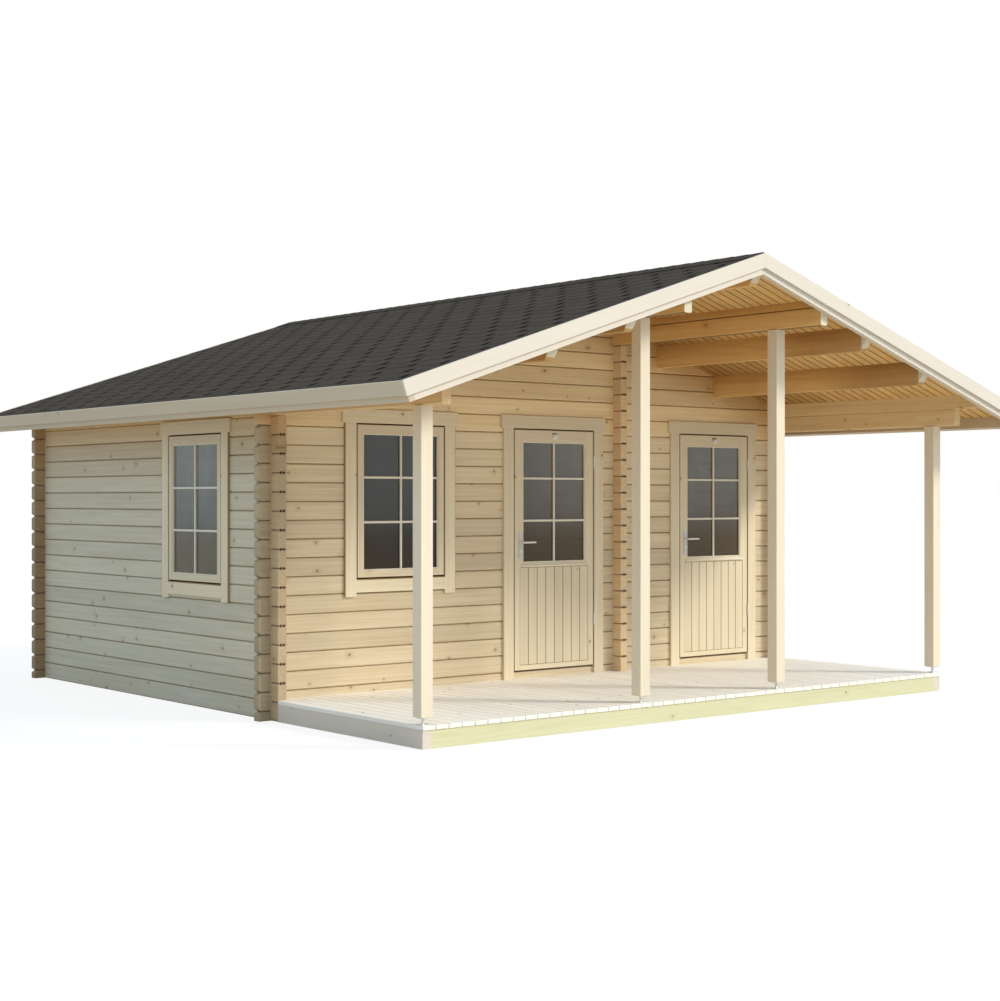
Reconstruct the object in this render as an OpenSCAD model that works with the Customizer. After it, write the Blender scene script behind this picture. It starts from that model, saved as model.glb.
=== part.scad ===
// Outdoor sauna: a log cabin of two rooms under one low saddle roof that runs on over a timber terrace.
// The origin is on the ground, under the middle of the roof. The front, with the terrace, faces -Y.

/* [Log walls] */
// Width over the outer faces of the two side walls
cabin_w = 5256; // [4800:2:6200]
// Depth over the outer faces of the front and back walls
cabin_d = 3830; // [3200:10:5200]
// Height of one log course
log_h = 135; // [125:1:145]
// Thickness of a log
log_t = 70; // [60:1:90]
// Length of a log end past the wall that it crosses
log_end = 95; // [70:5:130]
// Depth and half height of the V between two courses
log_bevel = 9; // [4:1:14]
// Length of the V cut at each seam into the log ends of the front and back walls
end_cut_len = 25; // [10:1:40]
// Half height of that cut at the end
end_cut_h = 20; // [8:1:30]
// Full courses in a side wall under its roof plate
side_courses = 16; // [15:1:18]
// Height of the roof plate's upper log at the wall's outer face
plate_rise = 88; // [70:1:110]
// Distance of the inner posts, and of the partition wall, from the ridge line
inner_line = 700; // [600:10:900]

/* [Roof] */
// Slope of the roof in degrees
pitch = 18.15; // [15:0.05:22]
// Overhang of the roof's underside past the side walls
eave_over = 485; // [350:5:600]
// Reach of the roof past the front of the terrace
gable_over = 484; // [300:2:600]
// Reach of the roof past the back wall
back_over = 160; // [160:5:400]
// Thickness of the roof boards
roof_board_t = 32; // [18:1:36]
// Thickness of the shingle layer
shingle_t = 12; // [4:1:16]
// Gap between two layers of the roof, and between its boards and what carries them
layer_gap = 0.1; // [0.05:0.05:0.5]
// Width of the ridge cap on each side of the ridge
cap_w = 140; // [100:10:200]
// Height of the bargeboards, square to the slope
barge_h = 98; // [80:1:130]
// Height of the bargeboards above the shingles
barge_up = 4; // [2:1:20]
// Height of the eave boards, square to the slope
eave_board_h = 90; // [70:1:120]
// Thickness of the bargeboards, eave boards and casings
trim_t = 20; // [16:1:28]
// Thickness of the end rafters and of the eave battens
rafter_t = 45; // [36:1:60]
// Height of the end rafters and of the eave battens, square to the slope
rafter_h = 92; // [80:1:120]
// Height of a purlin
purlin_h = 170; // [140:5:200]
// Distance of the middle purlins from the ridge line
purlin_mid = 1210; // [1100:10:1400]
// Distance of the outer purlins from the ridge line
purlin_out = 1895; // [1700:5:2100]
// Height of the slanting cut under a purlin's front end
purlin_cut = 80; // [40:5:110]
// Length of the slanting cut
purlin_cut_len = 60; // [30:5:100]
// Reach of the lower plate log past the front of the terrace
plate_over = 200; // [120:5:300]

/* [Terrace] */
// Depth of the terrace in front of the cabin
terrace_d = 1806; // [1400:2:2400]
// Height of the terrace beams and floor joists
joist_h = 120; // [95:5:170]
// Thickness of a floor joist and of the front beam
joist_t = 45; // [36:1:60]
// Largest distance from one joist to the next
joist_step = 600; // [400:10:700]
// Thickness of the deck and floor boards
deck_board_t = 28; // [20:1:36]
// Overhang of the deck boards past the front beam
deck_over = 8; // [0:1:25]
// Side of a square post
post_w = 90; // [80:1:120]
// Height of a post's screw foot
foot_h = 50; // [30:5:80]
// Width of a screw foot's plates
foot_plate_w = 64; // [50:2:76]
// Thickness of a screw foot's plates
foot_plate_t = 5; // [3:1:8]
// Diameter of a screw foot's spindle
foot_spindle_d = 20; // [14:1:30]

/* [Doors] */
// Width of a door leaf
leaf_w = 836; // [740:2:900]
// Height of a door leaf
leaf_h = 1907; // [1850:1:1960]
// Thickness of a door leaf
leaf_t = 40; // [35:1:50]
// Clearance beside, under and behind a door leaf
leaf_gap = 9; // [5:1:12]
// Clearance over a door leaf
leaf_head_gap = 10; // [6:1:14]
// Distance of the outer faces of the leaves and sashes in front of the wall's face
leaf_out = 16; // [4:1:20]
// Distance of the left door's middle from the partition's middle
door_1_offset = 688; // [660:2:760]
// Distance of the right door's middle from the right wall's outer face
door_2_offset = 781; // [740:1:860]
// Width of the wood beside a leaf's glass
leaf_stile_w = 88; // [70:1:130]
// Height of a leaf's glass
leaf_glass_h = 958; // [700:2:1000]
// Height of the glass above a leaf's lower edge
leaf_glass_z = 853; // [800:1:900]
// Width of the wood beside the boarded panel under the glass
leaf_panel_side = 55; // [40:1:100]
// Height of the boarded panel
leaf_panel_h = 774; // [650:2:780]
// Height of the panel above a leaf's lower edge
leaf_panel_z = 41; // [30:1:80]
// Depth of the panel behind the leaf's faces
leaf_panel_in = 8; // [4:1:12]
// Diameter of a hinge barrel
hinge_d = 12; // [10:1:14]
// Height of a hinge
hinge_h = 90; // [70:5:110]
// Thickness of a hinge plate
hinge_plate_t = 2.5; // [1.5:0.5:2.5]
// Depth of a hinge plate behind the leaf's outer face
hinge_plate_w = 32; // [24:1:38]
// Clearance between the halves of a hinge
knuckle_gap = 0.6; // [0.4:0.1:1]
// Clearance of the casing round a hinge barrel
hinge_notch = 5; // [3:1:8]
// Height of the lower hinges above a leaf's lower edge
hinge_low = 379; // [250:1:450]
// Height of the upper hinges above a leaf's lower edge
hinge_high = 1657; // [1500:1:1700]
// Height of a lever's spindle above a leaf's lower edge
lever_z = 1014; // [950:1:1100]
// Distance of a lever's spindle from a leaf's free edge
lever_in = 64; // [45:1:70]
// Length of a lever from its spindle
lever_len = 127; // [100:1:160]
// Diameter of a lever bar
lever_d = 18; // [14:1:22]
// Distance of a lever bar's middle from the leaf's face
lever_out = 46; // [36:1:60]
// Diameter of the spindle through the leaf
spindle_d = 10; // [8:1:12]
// Clearance of the spindle in the leaf and the lock plates
spindle_gap = 0.4; // [0.3:0.1:1]
// Clearance between a lever's neck and its lock plate
neck_gap = 1; // [0.5:0.1:2]
// Width of a lock plate
plate_w = 46; // [36:1:54]
// Height of a lock plate
plate_h = 205; // [150:5:240]
// Thickness of a lock plate
plate_t = 3; // [2:0.5:5]
// Height of a lock plate's top above the spindle
plate_up = 75; // [50:5:90]

/* [Windows and casings] */
// Clear width between the casings of a window
window_w = 816; // [700:2:900]
// Clear height between the casings of the front window
window_front_h = 1148; // [1000:2:1200]
// Clear height between the casings of the side window
window_side_h = 1125; // [1000:1:1200]
// Distance of the front window's middle from the left wall's outer face
window_front_x = 1127; // [900:1:1250]
// Distance of the side window's middle behind the front wall's outer face
window_side_y = 1075; // [800:5:1700]
// Gap between the casing and the sash
sash_gap = 9; // [3:1:12]
// Width of a sash's stiles and bottom rail
sash_w = 54; // [45:1:80]
// Height of a sash's top rail
sash_top_h = 68; // [55:1:95]
// Thickness of a sash
sash_t = 40; // [36:1:50]
// Thickness of the glass
glass_t = 4; // [3:1:6]
// Width of the frame pieces in the wall
frame_w = 40; // [32:1:50]
// Reach of the frame's rebate behind a leaf or a sash
rebate_w = 14; // [10:1:18]
// Width of the upright casings and of a window's lower casing
casing_w = 98; // [80:1:120]
// Height of the head casings
head_casing_h = 102; // [80:1:120]
// Joint between two boards of a casing
casing_joint = 0.3; // [0.2:0.1:1]
// Length of a head casing past the upright casings
head_over = 22; // [0:1:40]
// Distance of the window's lower casing above the foot of the uprights
casing_foot = 30; // [0:2:50]

/* [Hidden] */
$fn = 40;

pine = [0.86, 0.74, 0.56];
pine_light = [0.93, 0.87, 0.75];
pine_warm = [0.72, 0.52, 0.3];
treated = [0.86, 0.84, 0.64];
bitumen = [0.25, 0.24, 0.23];
glazing = [0.35, 0.38, 0.4, 0.8];
steel = [0.75, 0.75, 0.75];

// Plan: the ridge line is x = 0, and the roof's plan has its middle at y = 0.
half_w = cabin_w / 2;
front_y = (terrace_d + gable_over - cabin_d - back_over) / 2;
back_y = front_y + cabin_d;
roof_front_y = front_y - terrace_d - gable_over;
roof_back_y = back_y + back_over;
deck_front_y = front_y - terrace_d;

// Roof lines: the underside meets the side walls' outer faces at plate_z.
plate_z = (side_courses + 1) * log_h + plate_rise;
ridge_under = plate_z + half_w * tan(pitch);
slope_len = (half_w + eave_over) / cos(pitch);
shingle_top = roof_board_t + shingle_t;
barge_top = shingle_top + barge_up;
purlin_front_y = roof_front_y + trim_t + rafter_t;
purlin_back_y = roof_back_y - trim_t - rafter_t;
mitre_gap = 1;
cut = 1;
big = 2 * (cabin_w + cabin_d);

// Seams of the front wall lie half a course above those of the side walls.
// Seams are numbered from the ground.
half_h = log_h / 2;
sill_k = 1;
sill_top = half_h + sill_k * log_h;
gable_top = ridge_under + log_h;
plate_low_z = side_courses * log_h;
deck_top = joist_h + deck_board_t;

// The beams over the inner posts start at the last course that leaves them two logs under the roof.
beam_k = floor((ridge_under - inner_line * tan(pitch) - 2 * log_bevel) / log_h) - 1;
beam_z = beam_k * log_h;

// Openings: the frames fill the rough openings, and the casings cover the joint.
leaf_z = sill_top + leaf_gap;
leaf_y = front_y - leaf_out;
head_z = leaf_z + leaf_h + leaf_head_gap;
leaf_glass_w = leaf_w - 2 * leaf_stile_w;
leaf_panel_w = leaf_w - 2 * leaf_panel_side;
door_half = leaf_w / 2 + leaf_gap;
rough_half = door_half + frame_w;
rough_top = head_z + frame_w;
lintel_k = floor(rough_top / log_h - 0.5);
lintel_z = half_h + lintel_k * log_h;
door_1_x = inner_line - door_1_offset;
door_2_x = half_w - door_2_offset;
window_front = window_front_x - half_w;
window_side = front_y + window_side_y;
window_half = window_w / 2;
window_rough_half = window_half + frame_w;
front_window_z = head_z - window_front_h;
side_window_z = head_z - half_h - window_side_h;

// Purlin places, as signed distances from the ridge line.
purlin_lines = [-purlin_out, -purlin_mid, 0, purlin_mid, purlin_out];
post_lines = [-inner_line, inner_line];
outer_post = half_w - log_t / 2;
partition_x = inner_line - log_t / 2;

// Height of the roof's underside at a distance from the ridge line.
function under(x) = ridge_under - abs(x) * tan(pitch);

// Point of the right roof half at slope length s and height d square to the underside.
function slope_point(s, d) = [s * cos(pitch) + d * sin(pitch), ridge_under - s * sin(pitch) + d * cos(pitch)];

// Section of a layer on the right roof half, from height d0 to d1, cut square at slope length s.
function layer(d0, d1, s, x0 = 0) = [
    [x0, ridge_under + d0 / cos(pitch) - x0 * tan(pitch)],
    [x0, ridge_under + d1 / cos(pitch) - x0 * tan(pitch)],
    slope_point(s, d1),
    slope_point(s, d0)
];

// Heights of the seams between two levels, for logs whose seams start at phase.
function seams(z0, z1, phase) = [
    for (z = [phase : log_h : z1]) if (z > z0 + log_bevel && z < z1 - log_bevel) z
];

// A level is bevelled where it is itself a seam.
function on_seam(z, phase) = abs((z - phase) / log_h - round((z - phase) / log_h)) < 0.001;

// Face of a stack of logs, from z0 up to z1, with a V at each seam.
function log_face(z0, z1, phase) = concat(
    on_seam(z0, phase) ? [[log_bevel, z0], [0, z0 + log_bevel]] : [[0, z0]],
    [
        for (z = seams(z0, z1, phase))
            for (p = [[0, -log_bevel], [log_bevel, 0], [0, log_bevel]]) [p[0], z + p[1]]
    ],
    on_seam(z1, phase) ? [[0, z1 - log_bevel], [log_bevel, z1]] : [[0, z1]]
);

// Both faces of the stack, as one outline.
function log_outline(z0, z1, phase) = let (f = log_face(z0, z1, phase), n = len(f)) concat(
    [for (i = [0 : n - 1]) [log_t - f[i][0], f[i][1]]],
    [for (i = [n - 1 : -1 : 0]) f[i]]
);

// Stack of logs that runs along x from x0 to x1, with its outer face at y.
module logs_x(x0, x1, y, z0, z1, phase) {
    translate([x0, y, 0])
        rotate([90, 0, 90])
            linear_extrude(x1 - x0)
                polygon(log_outline(z0, z1, phase));
}

// Stack of logs that runs along y from y0 to y1, with its left face at x.
module logs_y(x, y0, y1, z0, z1, phase) {
    translate([x, y1, 0])
        rotate([90, 0, 0])
            linear_extrude(y1 - y0)
                polygon(log_outline(z0, z1, phase));
}

// Cuts in a log wall where another wall crosses it: half a course at each seam between two numbers.
module cross_cuts(x, y, phase, from, to) {
    for (k = [from : to])
        translate([x, y, phase + k * log_h - log_h / 4])
            cube([log_t, log_t, half_h]);
}

// Space over the roof's underside, for cutting the gables.
module over_roof() {
    translate([0, big / 2, 0])
        rotate([90, 0, 0])
            linear_extrude(big)
                polygon([[-big, under(big)], [0, ridge_under], [big, under(big)], [big, big], [-big, big]]);
}

// Extrusion along y of a section in the x-z plane.
module along_y(y0, y1) {
    translate([0, y1, 0])
        rotate([90, 0, 0])
            linear_extrude(y1 - y0)
                children();
}

// Section of one purlin with a top that follows the roof.
module purlin_section(x, bottom) {
    polygon([
        [x - log_t / 2, bottom],
        [x + log_t / 2, bottom],
        [x + log_t / 2, under(x + log_t / 2)],
        [x, x == 0 ? ridge_under : under(x)],
        [x - log_t / 2, under(x - log_t / 2)]
    ]);
}

// Slots in the gables for a purlin or a beam, from its underside up past the roof.
module purlin_slot(x, bottom) {
    translate([x - log_t / 2, roof_front_y, bottom])
        cube([log_t, roof_back_y - roof_front_y, gable_top + cut - bottom]);
}

// Cuts in the front or back wall for the side walls and the partition.
module corner_cuts(y, from, to) {
    for (x = [-half_w, half_w - log_t, partition_x]) cross_cuts(x, y, half_h, from, to);
}

// Cuts at the seams in both ends of a wall along x with its outer face at y.
module end_cuts(y, from, to) {
    for (side = [0, 1])
        mirror([side, 0, 0])
            for (k = [from : to])
                translate([half_w + log_end, y - cut, half_h + k * log_h])
                    rotate([-90, 0, 0])
                        linear_extrude(log_t + 2 * cut)
                            polygon([
                                [-end_cut_len, 0],
                                [0, -end_cut_h],
                                [cut, -end_cut_h],
                                [cut, end_cut_h],
                                [0, end_cut_h]
                            ]);
}

// A rectangular hole through the front wall.
module front_hole(x, half, z0, z1) {
    translate([x - half, front_y - trim_t, z0])
        cube([2 * half, log_t + 2 * trim_t, z1 - z0]);
}

module front_sill_logs() {
    color(pine)
        difference() {
            logs_x(-half_w - log_end, half_w + log_end, front_y, 0, sill_top, half_h);
            corner_cuts(front_y, 0, sill_k);
            end_cuts(front_y, 0, sill_k);
        }
}

module front_wall_left() {
    color(pine)
        difference() {
            logs_x(-half_w - log_end, door_1_x - rough_half, front_y, sill_top, lintel_z, half_h);
            corner_cuts(front_y, sill_k, lintel_k);
            end_cuts(front_y, sill_k, lintel_k);
            front_hole(window_front, window_rough_half, front_window_z - frame_w, rough_top);
        }
}

module front_wall_middle() {
    color(pine)
        difference() {
            logs_x(door_1_x + rough_half, door_2_x - rough_half, front_y, sill_top, lintel_z, half_h);
            corner_cuts(front_y, sill_k, lintel_k);
        }
}

module front_wall_right() {
    color(pine)
        difference() {
            logs_x(door_2_x + rough_half, half_w + log_end, front_y, sill_top, lintel_z, half_h);
            corner_cuts(front_y, sill_k, lintel_k);
            end_cuts(front_y, sill_k, lintel_k);
        }
}

// Wall from seam k0, or from the ground, up to the roof, cut by the purlins and the crossing walls.
module gable(y, k0) {
    difference() {
        logs_x(-half_w - log_end, half_w + log_end, y, max(0, half_h + k0 * log_h), gable_top, half_h);
        over_roof();
        for (x = purlin_lines) purlin_slot(x, under(x) - purlin_h);
        for (x = post_lines) purlin_slot(x, beam_z);
        corner_cuts(y, max(0, k0), side_courses);
        end_cuts(y, max(0, k0), side_courses);
        cross_cuts(partition_x, y, half_h, side_courses + 1, beam_k - 1);
        for (x = [-half_w, half_w - log_t])
            translate([x, y, plate_low_z + log_h + log_h / 4])
                cube([log_t, log_t, big]);
    }
}

module front_gable() {
    color(pine)
        difference() {
            gable(front_y, lintel_k);
            for (x = [door_1_x, door_2_x]) front_hole(x, rough_half, 0, rough_top);
            front_hole(window_front, window_rough_half, 0, rough_top);
        }
}

module back_wall() {
    color(pine) gable(back_y - log_t, -1);
}

// Side wall with its log ends, crossed by the front and back walls.
module side_wall(x) {
    difference() {
        logs_y(x, front_y - log_end, back_y + log_end, 0, plate_low_z, 0);
        for (y = [front_y, back_y - log_t]) cross_cuts(x, y, 0, 0, side_courses);
    }
}

module side_wall_left() {
    color(pine)
        difference() {
            side_wall(-half_w);
            translate([-half_w - trim_t, window_side - window_rough_half, side_window_z - frame_w])
                cube([log_t + 2 * trim_t, 2 * window_rough_half, window_side_h + 2 * frame_w]);
        }
}

module side_wall_right() {
    color(pine) side_wall(half_w - log_t);
}

module partition_wall() {
    color(pine)
        difference() {
            logs_y(partition_x, front_y - log_end, back_y + log_end, 0, beam_z, 0);
            for (y = [front_y, back_y - log_t]) cross_cuts(partition_x, y, 0, 0, beam_k);
        }
}

// Two long logs on a side wall: the lower one ends over the post, the upper one under the gable.
module wall_plate(x) {
    z0 = plate_low_z;
    difference() {
        union() {
            logs_y(x, deck_front_y - plate_over, purlin_back_y, z0, z0 + log_h, 0);
            logs_y(x, purlin_front_y, purlin_back_y, z0 + log_h, z0 + 2 * log_h, 0);
        }
        over_roof();
        for (y = [front_y, back_y - log_t]) cross_cuts(x, y, 0, side_courses, side_courses + 1);
    }
}

module wall_plates() {
    color(pine)
        for (x = [-half_w, half_w - log_t]) wall_plate(x);
}

// Beams of two logs over the inner posts, with a V between the logs.
module post_beams() {
    color(pine_warm)
        for (x = post_lines)
            difference() {
                logs_y(x - log_t / 2, purlin_front_y, purlin_back_y, beam_z, beam_z + 2 * log_h, 0);
                over_roof();
                if (x > 0)
                    for (y = [front_y, back_y - log_t]) cross_cuts(partition_x, y, 0, beam_k, beam_k);
            }
}

// Purlin with a slanting cut under its front end.
module purlin(x) {
    bottom = under(x) - purlin_h;
    difference() {
        along_y(purlin_front_y, purlin_back_y) purlin_section(x, bottom);
        translate([x - log_t, purlin_front_y, bottom])
            rotate([90, 0, 90])
                linear_extrude(2 * log_t)
                    polygon([
                        [-cut, -cut],
                        [purlin_cut_len, -cut],
                        [purlin_cut_len, 0],
                        [0, purlin_cut],
                        [-cut, purlin_cut]
                    ]);
    }
}

module purlins() {
    color(pine_warm)
        for (x = purlin_lines) purlin(x);
}

// One half of the roof in the x-z plane: the right one, or the left one where side is -1.
module roof_half(side, y0, y1) {
    mirror([side < 0 ? 1 : 0, 0, 0]) along_y(y0, y1) children();
}

module roof_boards(side) {
    roof_half(side, roof_front_y + trim_t, roof_back_y - trim_t)
        polygon(layer(layer_gap, roof_board_t, slope_len - trim_t - layer_gap));
}

module roof_boards_left() {
    color(pine_warm) roof_boards(-1);
}

module roof_boards_right() {
    color(pine_warm) roof_boards(1);
}

module shingles(side) {
    roof_half(side, roof_front_y + trim_t, roof_back_y - trim_t)
        polygon(layer(roof_board_t + layer_gap, shingle_top, slope_len - trim_t - layer_gap));
}

module shingles_left() {
    color(bitumen) shingles(-1);
}

module shingles_right() {
    color(bitumen) shingles(1);
}

module ridge_cap() {
    color(bitumen)
        for (side = [-1, 1])
            roof_half(side, roof_front_y + trim_t, roof_back_y - trim_t)
                polygon(layer(shingle_top + layer_gap, shingle_top + shingle_t, cap_w));
}

// Rafters behind the bargeboards, against the purlins' ends.
module end_rafters() {
    color(pine_light)
        for (y = [roof_front_y + trim_t, roof_back_y - trim_t - rafter_t])
            for (side = [-1, 1])
                roof_half(side, y, y + rafter_t)
                    polygon(layer(-rafter_h, 0, slope_len - trim_t - rafter_t, mitre_gap / 2));
}

// Board along an eave between heights d0 and d1, from slope length s0 to s1.
module eave_strip(side, d0, d1, s0, s1) {
    roof_half(side, roof_front_y + trim_t, roof_back_y - trim_t)
        polygon([slope_point(s0, d0), slope_point(s0, d1), slope_point(s1, d1), slope_point(s1, d0)]);
}

module eave_battens() {
    s1 = slope_len - trim_t - layer_gap;
    s0 = slope_len - trim_t - rafter_t + layer_gap;
    color(pine_light)
        for (side = [-1, 1]) eave_strip(side, -rafter_h, 0, s0, s1);
}

module eave_boards() {
    color(pine_light)
        for (side = [-1, 1])
            eave_strip(side, shingle_top - eave_board_h, shingle_top, slope_len - trim_t, slope_len);
}

module bargeboards() {
    color(pine_light)
        for (y = [roof_front_y, roof_back_y - trim_t])
            for (side = [-1, 1])
                roof_half(side, y, y + trim_t)
                    polygon(layer(barge_top - barge_h, barge_top, slope_len, mitre_gap / 2));
}

// Joists from y0 to y1, spread so that no two are further apart than the largest step.
module joist_rows(x0, x1, y0, y1) {
    n = ceil((y1 - y0 - joist_t) / joist_step);
    for (i = [0 : n])
        translate([x0, y0 + i * (y1 - y0 - joist_t) / n, 0])
            cube([x1 - x0, joist_t, joist_h]);
}

// Left and right ends of the floors on both sides of the partition.
bays = [[-half_w + log_t, partition_x], [partition_x + log_t, half_w - log_t]];

module floor_joists() {
    color(pine_light)
        for (b = bays) {
            joist_rows(b[0], b[1], front_y + log_t, back_y - log_t);
            joist_rows(b[0], b[1], deck_front_y + joist_step, front_y);
        }
}

module floor_boards() {
    color(pine_light)
        for (b = bays)
            translate([b[0], front_y + log_t, joist_h])
                cube([b[1] - b[0], cabin_d - 2 * log_t, deck_board_t]);
}

module deck_side_beams() {
    color(pine_light)
        for (x = [-half_w, half_w - log_t])
            translate([x, deck_front_y, 0])
                cube([log_t, terrace_d - log_end, joist_h]);
}

module deck_front_beam() {
    color(treated)
        translate([-half_w + log_t, deck_front_y, 0])
            cube([cabin_w - 2 * log_t, joist_t, joist_h]);
}

// Deck boards, notched round the log ends of the side walls and the partition.
module deck_boards() {
    color(pine_light)
        difference() {
            translate([-half_w, deck_front_y - deck_over, joist_h])
                cube([cabin_w, terrace_d + deck_over, deck_board_t]);
            for (x = [-half_w, half_w - log_t, partition_x])
                translate([x, front_y - log_end, joist_h - cut])
                    cube([log_t, log_end + cut, deck_board_t + 2 * cut]);
        }
}

// The four posts: the outer pair under the wall plates, the inner pair under the beams.
module post(x, top) {
    translate([x - post_w / 2, deck_front_y, deck_top + foot_h])
        cube([post_w, post_w, top - deck_top - foot_h]);
}

module posts() {
    color(pine_light) {
        for (x = [-outer_post, outer_post]) post(x, plate_low_z);
        for (x = post_lines) post(x, beam_z);
    }
}

// Screw foot: a plate on the deck, a spindle, and a plate under the post.
module screw_foot() {
    for (z = [0, foot_h - foot_plate_t])
        translate([-foot_plate_w / 2, -foot_plate_w / 2, z])
            cube([foot_plate_w, foot_plate_w, foot_plate_t]);
    cylinder(d = foot_spindle_d, h = foot_h);
}

module post_feet() {
    color(steel)
        for (x = [-outer_post, -inner_line, inner_line, outer_post])
            translate([x, deck_front_y + post_w / 2, deck_top])
                screw_foot();
}

// Half a hinge on the right edge of a leaf: a plate in the gap and half of the barrel.
module hinge_half(z, plate_x) {
    half = (hinge_h - knuckle_gap) / 2;
    translate([(leaf_w + leaf_gap) / 2, leaf_y - hinge_d / 2, z])
        cylinder(d = hinge_d, h = half);
    translate([plate_x, leaf_y - hinge_d / 2, z])
        cube([hinge_plate_t, hinge_d / 2 + hinge_plate_w, half]);
}

// Lower ends of a leaf's hinges.
hinge_zs = [leaf_z + hinge_low - hinge_h / 2, leaf_z + hinge_high - hinge_h / 2];

// Frame in the rough opening, with a rebate behind the leaf, and its halves of the hinges.
module door_frame(x) {
    stop_y = leaf_y + leaf_t + leaf_gap;
    color(pine)
        translate([x, 0, 0]) {
            difference() {
                translate([-rough_half, front_y, sill_top])
                    cube([2 * rough_half, log_t, rough_top - sill_top]);
                translate([-door_half, front_y - cut, sill_top - cut])
                    cube([2 * door_half, log_t + 2 * cut, head_z - sill_top + cut]);
            }
            difference() {
                translate([-door_half, stop_y, sill_top])
                    cube([2 * door_half, front_y + log_t - stop_y, head_z - sill_top]);
                translate([rebate_w - door_half, stop_y - cut, sill_top + leaf_gap + rebate_w])
                    cube([2 * (door_half - rebate_w), log_t, head_z - sill_top - leaf_gap - 2 * rebate_w]);
            }
            for (z = hinge_zs) hinge_half(z + (hinge_h + knuckle_gap) / 2, door_half - hinge_plate_t);
        }
}

// Casing on a wall whose outer face is y = 0: two uprights under a longer head.
module casing(half, foot_z, top_z) {
    for (x = [-half - casing_w, half])
        translate([x, -trim_t, foot_z])
            cube([casing_w, trim_t, top_z - foot_z - casing_joint]);
    translate([-half - casing_w - head_over, -trim_t, top_z])
        cube([2 * (half + casing_w + head_over), trim_t, head_casing_h]);
}

module door_casing(x) {
    notch_w = (hinge_d - leaf_gap) / 2 + hinge_notch;
    color(pine)
        translate([x, front_y, 0])
            difference() {
                casing(door_half, deck_top, head_z);
                for (z = hinge_zs)
                    translate([door_half - cut, -trim_t - cut, z - hinge_notch])
                        cube([notch_w + cut, trim_t + 2 * cut, hinge_h + 2 * hinge_notch]);
            }
}

// Bore for a spindle through pieces from y0 to y1.
module spindle_bore(y0, y1) {
    translate([0, y0 - cut, 0])
        rotate([-90, 0, 0])
            cylinder(d = spindle_d + 2 * spindle_gap, h = y1 - y0 + 2 * cut);
}

// Leaf with its glass opening, a sunk panel under it on both faces, and the spindle's hole.
module door_leaf(x) {
    color(pine)
        translate([x, 0, leaf_z]) {
            difference() {
                translate([-leaf_w / 2, leaf_y, 0])
                    cube([leaf_w, leaf_t, leaf_h]);
                translate([-leaf_glass_w / 2, leaf_y - cut, leaf_glass_z])
                    cube([leaf_glass_w, leaf_t + 2 * cut, leaf_glass_h]);
                for (y = [leaf_y - cut, leaf_y + leaf_t - leaf_panel_in])
                    translate([-leaf_panel_w / 2, y, leaf_panel_z])
                        cube([leaf_panel_w, leaf_panel_in + cut, leaf_panel_h]);
                translate([lever_in - leaf_w / 2, 0, lever_z]) spindle_bore(leaf_y, leaf_y + leaf_t);
            }
            for (z = hinge_zs) hinge_half(z - leaf_z, leaf_w / 2);
        }
}

module door_glass(x) {
    color(glazing)
        translate([x - leaf_glass_w / 2, leaf_y + (leaf_t - glass_t) / 2, leaf_z + leaf_glass_z])
            cube([leaf_glass_w, glass_t, leaf_glass_h]);
}

// Lock plates on both faces of a leaf, bored for the spindle.
module lock_plates(x) {
    color(steel)
        translate([x + lever_in - leaf_w / 2, 0, leaf_z + lever_z])
            for (y = [leaf_y - plate_t, leaf_y + leaf_t])
                difference() {
                    translate([-plate_w / 2, y, plate_up - plate_h])
                        cube([plate_w, plate_t, plate_h]);
                    spindle_bore(y, y + plate_t);
                }
}

// Lever handles on both sides, on one spindle.
module door_lever(x) {
    neck = lever_out - plate_t - neck_gap;
    color(steel)
        translate([x + lever_in - leaf_w / 2, leaf_y + leaf_t / 2, leaf_z + lever_z])
            for (side = [0, 1])
                mirror([0, side, 0]) {
                    rotate([90, 0, 0])
                        cylinder(d = spindle_d, h = leaf_t / 2 + lever_out);
                    translate([0, -leaf_t / 2 - lever_out, 0]) {
                        rotate([0, 90, 0])
                            cylinder(d = lever_d, h = lever_len);
                        sphere(d = lever_d);
                        rotate([-90, 0, 0])
                            cylinder(d = lever_d, h = neck);
                    }
                }
}

// Frame and fixed sash of a window of clear height h, drawn for a wall whose outer face is y = 0.
module window_frame(z0, h) {
    sash_half = window_half - sash_gap;
    difference() {
        translate([-window_rough_half, 0, z0 - frame_w])
            cube([2 * window_rough_half, log_t, h + 2 * frame_w]);
        translate([-window_half, -cut, z0])
            cube([2 * window_half, sash_t - leaf_out + cut, h]);
        translate([rebate_w - window_half, -cut, z0 + rebate_w])
            cube([2 * (window_half - rebate_w), log_t + 2 * cut, h - 2 * rebate_w]);
    }
    difference() {
        translate([-sash_half, -leaf_out, z0 + sash_gap])
            cube([2 * sash_half, sash_t, h - 2 * sash_gap]);
        translate([sash_w - sash_half, -leaf_out - cut, z0 + sash_gap + sash_w])
            cube([2 * (sash_half - sash_w), sash_t + 2 * cut, h - 2 * sash_gap - sash_w - sash_top_h]);
    }
}

module window_pane(z0, h) {
    half = window_half - sash_gap - sash_w;
    translate([-half, -leaf_out + (sash_t - glass_t) / 2, z0 + sash_gap + sash_w])
        cube([2 * half, glass_t, h - 2 * sash_gap - sash_w - sash_top_h]);
}

// Casing of a window, with a lower board between the uprights.
module window_casing(z0, h) {
    casing(window_half, z0 - casing_w - casing_foot, z0 + h);
    translate([casing_joint - window_half, -trim_t, z0 - casing_w])
        cube([2 * (window_half - casing_joint), trim_t, casing_w]);
}

// Places a window in the front wall, or in the left wall, where it sits half a course lower.
module in_front_wall() {
    translate([window_front, front_y, 0]) children();
}

module in_side_wall() {
    translate([-half_w, window_side, 0]) rotate([0, 0, -90]) children();
}

module front_window_frame() {
    color(pine) in_front_wall() window_frame(front_window_z, window_front_h);
}

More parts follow.
